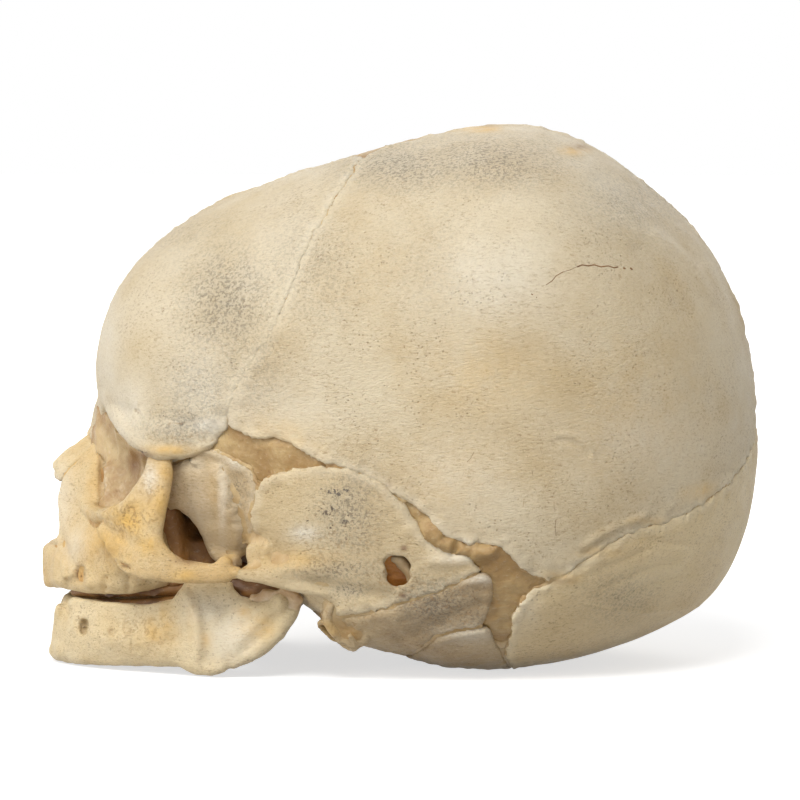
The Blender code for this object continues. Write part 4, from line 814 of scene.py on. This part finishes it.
# The bones of the base: thick, rough and browner than the vault, with the drum's horseshoe ring
# hanging under the petrous bone. Each is its solid, rounded and lumped; a wider hoop is fused onto
# the ring.
BASE_BONES = (
    "petrous_left", "petrous_right", "exoccipital_left", "exoccipital_right", "basioccipital",
    "sphenoid_body", "tympanic_ring_left", "tympanic_ring_right",
)
base_paint = bone_finish(
    "base_bone_finish", tone(196, 174, 136), tone(160, 132, 92), (0.0, 0.0, 0.02), 1100.0,
)
BASE_VOXEL = 0.00040
BASE_CRINKLE = 0.5
BASE_LUMP_SIZE = 0.0045
BASE_LUMP = 0.0007
lumps = clouds("lumps", BASE_LUMP_SIZE, 2)
base_pieces = []
BASE_STROKES = (
    (((440, 640), (468, 632), (496, 630)), 5, 0.5), (((400, 640), (440, 622), (480, 606)), 7, -0.5),
    (((380, 612), (400, 626), (420, 646)), 6, 0.4), (((420, 590), (460, 582), (484, 580)), 5, 0.35),
    (((340, 640), (380, 650), (420, 656)), 5, -0.3),
)
RING_FORM = (
    (
        (332, 602, 34, 0.8), (328, 614, 33, 0.9), (331, 628, 32, 0.9), (341, 639, 31, 1.0),
        (355, 645, 30.6, 0.9), (366, 640, 31, 0.9), (370, 628, 32, 0.9), (369, 614, 33, 0.9),
    ),
)
for node in BASE_BONES:
    form = RING_FORM if node.startswith("tympanic") else ()
    piece, _ = rounded(node, node + "_bone", 2, 0.4, BASE_VOXEL, added=form)
    crinkle(piece, np.full(len(piece.data.vertices), BASE_CRINKLE))
    lumped(piece, lumps, BASE_LUMP)
    brush(piece, BASE_STROKES)
    keep_value(piece, "rim", FAR_FROM_RIM)
    stain(piece)
    piece.data.materials.append(base_paint)
    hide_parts(node)
    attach(piece, "cranium")
    base_pieces.append(piece)

# The film over the joints of the base: thin dried tissue, so no gap between its bones is open. It is
# made of copies of the bones, swollen until they meet and worn back to just under their skin.
FILM_VOXEL = 0.00060
FILM_GROWTH = 0.0010
FILM_WORN = 0.00122


def join_copies(pieces):
    """Joins copies of pieces into one bare object and leaves the pieces as they are."""
    bpy.ops.object.select_all(action="DESELECT")
    for piece in pieces:
        piece.select_set(True)
    bpy.context.view_layer.objects.active = pieces[0]
    bpy.ops.object.duplicate()
    bpy.ops.object.join()
    bpy.context.object.data.materials.clear()


def grown_together(name, voxel, growth, worn, lumpiness, smoothing=4):
    """Fuses the object in hand, swells it so that its gaps close, and wears it back."""
    made = bpy.context.object
    made.name = name
    made.data.name = name
    fine_mesh(made, voxel)
    swollen(made, growth)
    fine_mesh(made, voxel)
    swollen(made, -worn)
    softened(made, smoothing)
    lumped(made, muscle_lumps, lumpiness)
    only(made)
    bpy.ops.object.shade_smooth()
    return made


base_pieces += [plates[node] for node in plates if not node.startswith(("parietal", "frontal"))]
join_copies(base_pieces)
film = grown_together("base_film", FILM_VOXEL, FILM_GROWTH, FILM_WORN, 0.0001)
film_paint = tissue_finish("base_film_finish", tone(204, 178, 134), tone(170, 138, 88), 0.45)
film.data.materials.append(film_paint)
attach(film, "cranium")

# The bones of the face: small, spongy and honey-coloured round the orbit, the nose and the palate.
# Each is its solid, rounded and grained, with its ridges, tooth bulges and pits fused on or cut in.
FACE_BONES = ("nasal", "maxilla", "zygomatic", "lacrimal", "palatine", "concha")
FACE_VOXEL = 0.00034
face_paint = bone_finish(
    "face_bone_finish", tone(222, 201, 158), tone(206, 172, 114), (-0.05, 0.0, 0.02),
    1200.0, 1.2, 1.1, 0.5,
)
FACE_FORMS = {
    "nasal": (
        ((93, 441, 1.5, 1.2), (78, 452, 1.5, 1.2), (66, 461, 1.5, 1.1), (57, 469, 1.4, 1.0)),
    ),
    "maxilla": (
        (
            (53, 544, 4, 0.6), (51, 556, 4.4, 0.85), (49.5, 566, 4.4, 0.7), (50.5, 575, 4.4, 0.9),
            (54, 583, 4.4, 0.7),
        ),
        ((57, 542, 6, 0.6), (62, 541, 8, 0.8), (66, 550, 9, 1.0)),
        ((71, 545, 10, 1.0), (70, 562, 12, 1.5), (73, 578, 13.4, 1.6)),
        ((91, 566, 16.6, 1.4), (94, 583, 16.4, 1.6)), ((112, 570, 19.6, 1.4), (114, 584, 19.2, 1.5)),
        ((133, 574, 21.8, 1.4), (135, 582, 21.4, 1.4)), ((152, 572, 21.6, 1.6), (158, 578, 21, 1.6)),
        (
            (131, 503, 28.4, 1.0), (121, 511, 26, 1.1), (110, 516, 22, 1.2), (99, 516, 17, 1.2),
            (91, 510, 12.2, 1.2), (84, 500, 9.4, 1.0),
        ),
        ((68, 480, 5, 0.9), (64, 500, 5.6, 0.9), (66, 522, 7.5, 0.9), (64, 538, 7.8, 0.8)),
    ),
    "zygomatic": (
        ((150, 462, 29.4, 1.0), (170, 460, 30, 1.0)),
        ((186, 570, 32.4, 1.4), (204, 571, 32.8, 1.2), (226, 571, 33.2, 1.0), (240, 573, 33.8, 0.7)),
        ((224, 566, 33, 0.8), (230, 560, 33, 0.6)),
        ((104, 530, 22, 1.4), (122, 540, 26, 1.5), (146, 556, 30, 1.4)),
    ),
}
FACE_HOLES = {
    "maxilla": (
        ((79, 570, 20, 0.8), (81, 577, 14.4, 0.6)), ((123, 565, 24, 0.3), (126, 568, 20.4, 0.25)),
        ((101, 440, 9.4, 1.5), (102, 470, 9.9, 1.6), (103, 486, 10.8, 1.4)),
        ((41, 549, 12, 0.6), (41, 549, -1, 0.6)), ((40, 562, 12, 0.5), (40, 562, -1, 0.5)),
        ((42, 585, 12, 0.6), (42, 585, -1, 0.6)), ((41, 572, 12, 0.4), (41, 572, -1, 0.4)),
    ),
}
FACE_GROWTH = 0.00028
FACE_STROKES = (
    (((80, 570), (80, 578)), 3.5, -1.3), (((119, 563), (128, 569)), 1.8, -0.6),
    (((64, 545), (66, 588)), 4, -0.5), (((108, 533), (118, 537)), 9, -0.8),
    (((97, 512), (108, 517), (121, 512), (131, 500)), 3.5, 0.5),
    (((99, 440), (97, 470), (97, 502)), 3, 0.35), (((92, 583), (98, 583)), 6, 0.5),
    (((115, 585), (120, 585)), 6, 0.4), (((138, 583), (142, 582)), 6, 0.4),
    (((56, 560), (54, 580)), 4, 0.4), (((105, 590), (106, 578)), 2.5, -0.35),
    (((128, 590), (129, 578)), 2.5, -0.35), (((160, 470), (160, 500), (150, 520)), 5, 0.35),
    (((140, 535), (165, 550)), 6, 0.35), (((69, 452), (60, 462)), 5, 0.35),
    (((78, 468), (72, 500)), 6, -0.35),
)
FACE_LUMP_SIZE = 0.0028
FACE_LUMP = 0.0007
face_grain = clouds("face_grain", FACE_LUMP_SIZE, 2)
face_pieces = []
for node in [name + side for name in FACE_BONES for side in ("_left", "_right")] + ["ethmoid", "vomer"]:
    kind = node.split("_")[0]
    piece, _ = rounded(
        node, node + "_bone", 2, 0.2, FACE_VOXEL,
        added=FACE_FORMS.get(kind, ()), cut=FACE_HOLES.get(kind, ()),
    )
    swollen(piece, FACE_GROWTH)
    lumped(piece, face_grain, FACE_LUMP)
    brush(piece, FACE_STROKES)
    keep_value(piece, "rim", FAR_FROM_RIM)
    stain(piece)
    piece.data.materials.append(face_paint)
    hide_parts(node)
    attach(piece, "cranium")
    face_pieces.append(piece)

# What is left of the soft parts of the face: the lining of the orbits, a thin skin that joins the
# small bones, and brown dried muscle behind the cheeks and under the arches. Rods that follow the
# tissue are fused, and their gaps close.
LINING = (
    ((92, 438, 0.4, 1.3), (98, 425, 0.4, 1.4), (103, 410, 0.4, 1.4)),
    ((105, 405, 4, 1.5), (100, 430, 4, 1.5), (97, 450, 5, 1.3)),
    ((106, 402, 7, 1.8), (104, 430, 7, 1.8), (103, 455, 8, 1.4)),
    (
        (114, 412, 10, 1.9), (114, 435, 9.4, 1.8), (114, 452, 9.4, 1.5), (112, 480, 10, 1.2),
        (107, 505, 11, 1.1),
    ),
    ((124, 428, 13, 1.9), (126, 448, 11, 1.7), (126, 480, 10.8, 1.4), (121, 508, 11.6, 1.3)),
    ((137, 440, 17, 1.9), (139, 456, 13, 1.7), (138, 480, 12.6, 1.4), (133, 511, 14, 1.3)),
    ((150, 448, 22, 1.9), (150, 465, 17, 1.7), (149, 490, 17, 1.6), (147, 520, 18, 1.5)),
    ((162, 451, 26, 1.6), (164, 470, 22, 1.7), (162, 500, 22, 1.7)),
    ((174, 452, 27, 1.6), (176, 474, 26, 1.7), (176, 500, 25, 1.5)),
    ((99, 506, 11, 1.1), (115, 513, 13, 1.2), (130, 517, 16, 1.3), (146, 520, 20, 1.3)),
    ((104, 466, 11.6, 0.5), (107, 486, 12.0, 0.5), (105, 504, 12.6, 0.4)),
    ((118, 462, 12.4, 0.5), (116, 484, 12.8, 0.5), (120, 502, 13.2, 0.4)),
    ((132, 470, 14.2, 0.4), (128, 488, 13.8, 0.5), (126, 506, 14.2, 0.4)),
    ((144, 472, 17.4, 0.4), (139, 492, 16.2, 0.4), (136, 510, 16.4, 0.4)),
)
MUSCLE = (
    ((170, 505, 21, 2.0), (172, 530, 20, 2.4), (176, 560, 20, 2.5), (180, 585, 20, 2.4)),
    ((186, 515, 18, 1.8), (190, 535, 16, 2.4), (196, 562, 17, 2.5), (202, 588, 18, 2.4)),
    ((205, 540, 18, 2.2), (214, 566, 19, 2.5), (226, 584, 20, 2.4)),
    ((236, 566, 22, 1.8), (246, 580, 22, 2.3), (264, 590, 23, 2.2)),
    ((262, 578, 24, 1.8), (286, 586, 25, 1.8), (304, 592, 25, 1.4)),
    ((230, 582, 24, 1.6), (250, 592, 25, 1.6), (270, 594, 25, 1.6)),
)
join_copies(face_pieces)
skin = grown_together("face_skin", 0.0005, 0.0008, 0.00105, 0.0002)
skin_paint = tissue_finish("face_skin_finish", tone(212, 176, 112), tone(172, 126, 64), 0.42)
skin.data.materials.append(skin_paint)
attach(skin, "cranium")
lining_paint = tissue_finish("lining_finish", tone(204, 180, 134), tone(162, 126, 76), 0.36)
muscle_paint = tissue_finish("muscle_finish", tone(158, 112, 56), tone(98, 64, 30), 0.4)
for side, word in ((1, "left"), (-1, "right")):
    for name, lines, paint, growing in (
        ("orbit_lining_", LINING, lining_paint, (0.0004, 0.0015, 0.0016, 0.0007, 9)),
        ("dried_muscle_", MUSCLE, muscle_paint, (0.0005, 0.0010, 0.0010, 0.0008, 10)),
    ):
        rods(name, lines, side)
        piece = grown_together(name + word, *growing)
        # On the orbit's lining the brown marks are painted shadow under the brow.
        if paint == lining_paint:
            stain(piece)
        piece.data.materials.append(paint)
        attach(piece, "cranium")

# Soft parts of the ear region: amber tissue behind the ragged holes in each temporal squama, a pale
# veil that still covers part of the largest hole, and the drum in its bony hoop. All are rods that
# lie side by side and are fused.
HOLE_TISSUE = tuple(
    ((374, y, 36.6 - dip, 1.5), (398, y, 36.8 - dip, 1.3), (420, y + 4, 36.6 - dip, 1.5))
    for y, dip in ((y, (y - 540) / 22) for y in range(540, 602, 9))
)
DRUM = tuple(
    ((330, y, 30.6 - dip, 1.3), (348, y + 1, 29.8 - dip, 1.4), (367, y, 30.6 - dip, 1.3))
    for y, dip in ((y, (y - 610) / 14) for y in range(606, 636, 8))
)
VEIL = (
    (
        (391, 558, 37.6, 0.7), (400, 559, 37.6, 0.9), (408, 566, 37.4, 0.9), (411, 575, 37.2, 0.7),
        (408, 583, 37, 0.4),
    ),
    ((398, 564, 37.2, 0.7), (404, 568, 37.2, 0.7), (407, 574, 37, 0.6)),
)
veil_paint = tissue_finish("veil_finish", tone(206, 182, 142), tone(168, 138, 96), 0.4)
drum_paint = tissue_finish("drum_finish", tone(186, 146, 92), tone(136, 96, 52), 0.4)
hole_paint = tissue_finish("hole_finish", tone(224, 152, 60), tone(160, 98, 32), 0.34)
for side, word in ((1, "left"), (-1, "right")):
    for name, lines, paint, growing in (
        ("hole_tissue_", HOLE_TISSUE, hole_paint, (0.0004, 0.0005, 0.0005, 0.0006)),
        ("hole_veil_", VEIL, veil_paint, (0.0003, 0.0004, 0.0004, 0.0004, 5)),
        ("ear_drum_", DRUM, drum_paint, (0.0004, 0.0005, 0.0006, 0.0005)),
    ):
        rods(name, lines, side)
        piece = grown_together(name + word, *growing)
        piece.data.materials.append(paint)
        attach(piece, "cranium")

# Fine marks on the left parietal: a hairline crack with its row of pits, and scratches. Each is a
# thin thread laid on the bone: its pixels, its radius and how deep it is sunk, in millimetres.
PARIETAL_MARKS = (
    (
        (
            (577, 267), (582, 265), (588, 266), (594, 265), (601, 267), (608, 266), (614, 268),
            (618, 267),
        ),
        0.13, 0.06,
    ),
    (((623, 268), (625, 269)), 0.2, 0.1), (((630, 268), (632, 270)), 0.2, 0.1),
    (((546, 285), (552, 281), (556, 276), (563, 272)), 0.1, 0.06),
    (((563, 272), (570, 270), (577, 267)), 0.07, 0.05), (((531, 294), (533, 295)), 0.14, 0.1),
    (((536, 297), (537, 298)), 0.12, 0.1), (((554, 502), (554, 506), (555, 512)), 0.05, 0.04),
    (((556, 520), (555, 527), (556, 536)), 0.06, 0.04), (((524, 499), (523, 507)), 0.05, 0.04),
    (((532, 470), (533, 476)), 0.05, 0.04), (((474, 452), (471, 458), (467, 462)), 0.05, 0.04),
)


def lie_on(piece, path, radius, sink):
    """A drawn line laid on a piece's skin: pixels in, points with their depth out."""
    found = []
    for x, y in path:
        ray = Vector(placed(x, y, 60) - camera_place).normalized()
        hit, place, _, _ = piece.ray_cast(Vector(camera_place), ray)
        if hit:
            found.append((x, y, -1000 * place.y - sink, radius))
    return found


bpy.context.view_layer.update()
marks = [lie_on(plates["parietal_left"], *mark) for mark in PARIETAL_MARKS]
rods("parietal_marks", [line for line in marks if len(line) > 1])
piece = bpy.context.object
mark_paint = tissue_finish("mark_finish", tone(150, 110, 66), tone(104, 70, 38), 0.6)
piece.data.materials.append(mark_paint)
bpy.ops.object.shade_smooth()
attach(piece, "cranium")

# The lower jaw: two halves of bone that meet at the chin in a pad of cartilage, and swing together
# on the condyles. Each half is its solid with its ridges fused on and the pit of its nerve cut in.
jaw_paint = bone_finish(
    "jaw_bone_finish", tone(228, 211, 174), tone(210, 184, 134), (-0.03, 0.0, 0.005),
    1100.0, 1.3, 1.0, 0.48,
)
JAW_STROKES = (
    (((83, 623), (83, 630)), 3.8, -1.1), (((75, 600), (100, 604), (140, 608), (168, 605)), 3, 0.35),
    (((105, 622), (130, 628)), 9, -0.4), (((187, 592), (197, 620), (199, 655)), 5, 0.55),
    (((172, 610), (175, 640)), 8, -0.5), (((222, 600), (228, 622)), 10, -0.5),
    (((212, 670), (222, 668)), 6, 0.4), (((58, 646), (60, 654)), 5, 0.45),
    (((110, 630), (112, 633)), 2, -0.5), (((240, 640), (262, 618)), 6, 0.35),
)
JAW_FORMS = (
    ((172, 612, 24, 1.3), (182, 600, 25, 1.3), (192, 588, 26, 1.0)),
    ((226, 600, 27, 0.9), (250, 606, 28, 1.0), (290, 609, 28.6, 1.2)),
    (
        (296, 604, 29, 1.0), (288, 617, 28.6, 1.3), (276, 632, 28, 1.5), (262, 646, 27.4, 1.5),
        (246, 657, 27, 1.4), (230, 666, 26.6, 1.0),
    ),
    ((62, 606, 9, 1.0), (60, 620, 8, 1.0), (58, 636, 7, 1.0)),
    ((58, 640, 6, 1.0), (56, 650, 6, 1.3), (60, 656, 6, 1.1)),
    (
        (72, 603, 11, 1.0), (90, 607, 14, 1.2), (116, 610, 18, 1.2), (150, 612, 21.6, 1.2),
        (172, 606, 24, 1.2),
    ),
    ((186, 590, 25, 1.2), (199, 610, 26.6, 1.4), (201, 640, 26.4, 1.2), (214, 664, 26, 1.3)),
    ((196, 585, 26.4, 1.0), (216, 584, 27.4, 1.0), (232, 588, 27.4, 1.0)),
    ((240, 604, 27, 1.3), (262, 609, 28, 1.5), (284, 606, 29, 1.4)),
)
JAW_GROWTH = 0.00015
PAD_GROWTH = (-0.0005, 0.0006, -0.0005)
LOWER_EDGE = ((60, 100, 150, 180, 196, 214, 240), (0.0, 0.4, 1.0, 1.0, 0.1, 0.0, 0.3))
JAW_HOLES = (
    ((81, 621, 20, 0.6), (82, 623, 14.4, 0.5)), ((83, 628, 20, 0.8), (84, 630, 14.6, 0.6)),
)
for node in ("mandible_left", "mandible_right"):
    piece, _ = rounded(node, node + "_bone", 2, 0.2, FACE_VOXEL, added=JAW_FORMS, cut=JAW_HOLES)
    lumped(piece, face_grain, FACE_LUMP)
    swollen(piece, JAW_GROWTH)
    places = points_of(piece)
    at = seen_at(places)
    places[:, 2] += np.interp(at[:, 0], *LOWER_EDGE) / 1000 * np.clip((at[:, 1] - 635) / 35, 0, 1)
    move_points(piece, places)
    brush(piece, JAW_STROKES)
    keep_value(piece, "rim", FAR_FROM_RIM)
    stain(piece)
    piece.data.materials.append(jaw_paint)
    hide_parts(node)
    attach(piece, "mandible")
chin_pad, _ = rounded("symphysis_cartilage", "symphysis_pad", 2, 0.9, 0.00025, 1)
move_points(chin_pad, points_of(chin_pad) + normals_of(chin_pad) * PAD_GROWTH)
pad_paint = tissue_finish("cartilage_finish", tone(170, 128, 76), tone(128, 88, 46), 0.4)
chin_pad.data.materials.append(pad_paint)
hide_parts("symphysis_cartilage")
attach(chin_pad, "mandible")

# What is left of the mouth's lining clings to each jaw, so it parts when the mouth opens. Only the
# capsules of the jaw joints still span from the skull to the lower jaw.
UPPER_LINING = (
    (
        (74, 591, 9, 1.0), (96, 592, 13, 1.0), (120, 592, 16, 1.0), (146, 591, 18, 1.1),
        (172, 588, 20, 1.4), (190, 587, 21, 1.4),
    ),
    ((98, 590, 15.0, 0.3), (104, 595, 15.4, 0.2), (112, 598, 16.0, 0.25)),
    ((128, 588, 17.6, 0.3), (138, 592, 18.6, 0.2), (156, 596, 20.0, 0.3)),
)
LOWER_LINING = (
    (
        (74, 604, 9, 1.0), (96, 604, 13, 1.0), (120, 605, 16, 1.1), (146, 605, 18, 1.2),
        (172, 603, 20, 1.4), (190, 602, 21, 1.4),
    ),
)
CAPSULE = (
    ((250, 598, 27.4, 0.9), (266, 602, 28, 1.1), (284, 603, 29, 1.2), (300, 606, 29, 1.2)),
    ((262, 592, 28.6, 0.7), (280, 595, 29.4, 0.8), (296, 598, 29.4, 0.9)),
    ((280, 588, 31, 0.6), (294, 594, 31, 0.7), (302, 601, 29.6, 0.7)),
)
SPAN_START = (-0.035, 0, 0.0126)
SPAN_END = (-0.035, 0, 0.0094)
capsule_paint = tissue_finish("capsule_finish", tone(222, 202, 170), tone(190, 158, 116), 0.34)
for side, word in ((1, "left"), (-1, "right")):
    for name, lines, group in (
        ("upper_lining_", UPPER_LINING, "cranium"), ("lower_lining_", LOWER_LINING, "mandible"),
    ):
        rods(name, lines, side)
        piece = grown_together(name + word, 0.0003, 0.0004, 0.0004, 0.0004, 5)
        piece.data.materials.append(muscle_paint)
        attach(piece, group)
    rods("capsule", CAPSULE, side)
    piece = grown_together("jaw_capsule_" + word, 0.0003, 0.0009, 0.0009, 0.0005, 12)
    piece.data.materials.append(capsule_paint)
    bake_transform(piece, "cranium", "mandible", start=SPAN_START, end=SPAN_END)

# Worn spots: the bone is worn flat where the skull rests and at its outermost edges, so that
# nothing stands outside the solids' box.
solids = set(nodes.values())
for piece in bpy.context.scene.objects:
    if piece.type == "MESH" and piece not in solids:
        move_points(piece, np.clip(points_of(piece), np.array(cad_box[0]), np.array(cad_box[1])))

# The setting: a pale floor under a white surround, with a broad soft lamp high on the left and a
# weak one low on the right.
FLOOR_SIZE = 6.0
bpy.ops.object.select_all(action="DESELECT")
bpy.ops.mesh.primitive_plane_add(size=FLOOR_SIZE, location=(0, 0, min(cad_box[0].z, 0.0) - 0.0002))
floor = bpy.context.object
floor.name = "floor"
floor.data.transform(floor.matrix_world)
floor.matrix_world.identity()
floor_paint = bpy.data.materials.new("floor_finish")
floor_paint.use_nodes = True
tree = floor_paint.node_tree
tree.nodes.clear()
at = step(tree, "TexCoord", {}).outputs["Object"]
away = step(tree, "VectorMath", {0: at}, operation="LENGTH").outputs["Value"]
far = ranged(tree, away, 0.09, 0.30)
matt = step(tree, "BsdfDiffuse", {"Color": (0.55, 0.55, 0.55, 1)})
rays = step(tree, "LightPath", {})
seen = plus(tree, rays.outputs["Is Camera Ray"], rays.outputs["Is Glossy Ray"])
strength = times(tree, seen, ranged(tree, far, 0.0, 1.0, 0.66, 1.0))
glow = step(tree, "Emission", {"Color": (1, 1, 1, 1), "Strength": strength})
both = step(tree, "AddShader", {0: matt.outputs[0], 1: glow.outputs[0]})
tree.links.new(both.outputs[0], step(tree, "OutputMaterial", {}).inputs["Surface"])
floor.data.materials.append(floor_paint)

surround = bpy.data.worlds.new("surround")
surround.use_nodes = True
bpy.context.scene.world = surround
tree = surround.node_tree
tree.nodes.clear()
rays = step(tree, "LightPath", {})
seen = plus(tree, rays.outputs["Is Camera Ray"], rays.outputs["Is Glossy Ray"])
strength = ranged(tree, seen, 0.0, 1.0, 0.36, 1.0)
sky = step(tree, "Background", {"Color": (1, 1, 1, 1), "Strength": strength})
tree.links.new(sky.outputs[0], step(tree, "OutputWorld", {}).inputs["Surface"])

for name, place, size, power in (
    ("key", (-0.10, -0.95, 1.05), 0.5, 13.0),
    ("left", (-1.00, -0.55, 0.40), 0.8, 8.0),
    ("back", (0.2, 1.0, 0.9), 0.8, 4.0),
):
    lamp = bpy.data.lights.new(name, "AREA")
    lamp.size = size
    lamp.energy = power
    holder = added_to_scene(name, lamp)
    holder.location = place
    holder.rotation_euler = (Vector(place) - CAMERA_AIM).to_track_quat("Z", "Y").to_euler()

bpy.context.scene.view_settings.view_transform = "Standard"
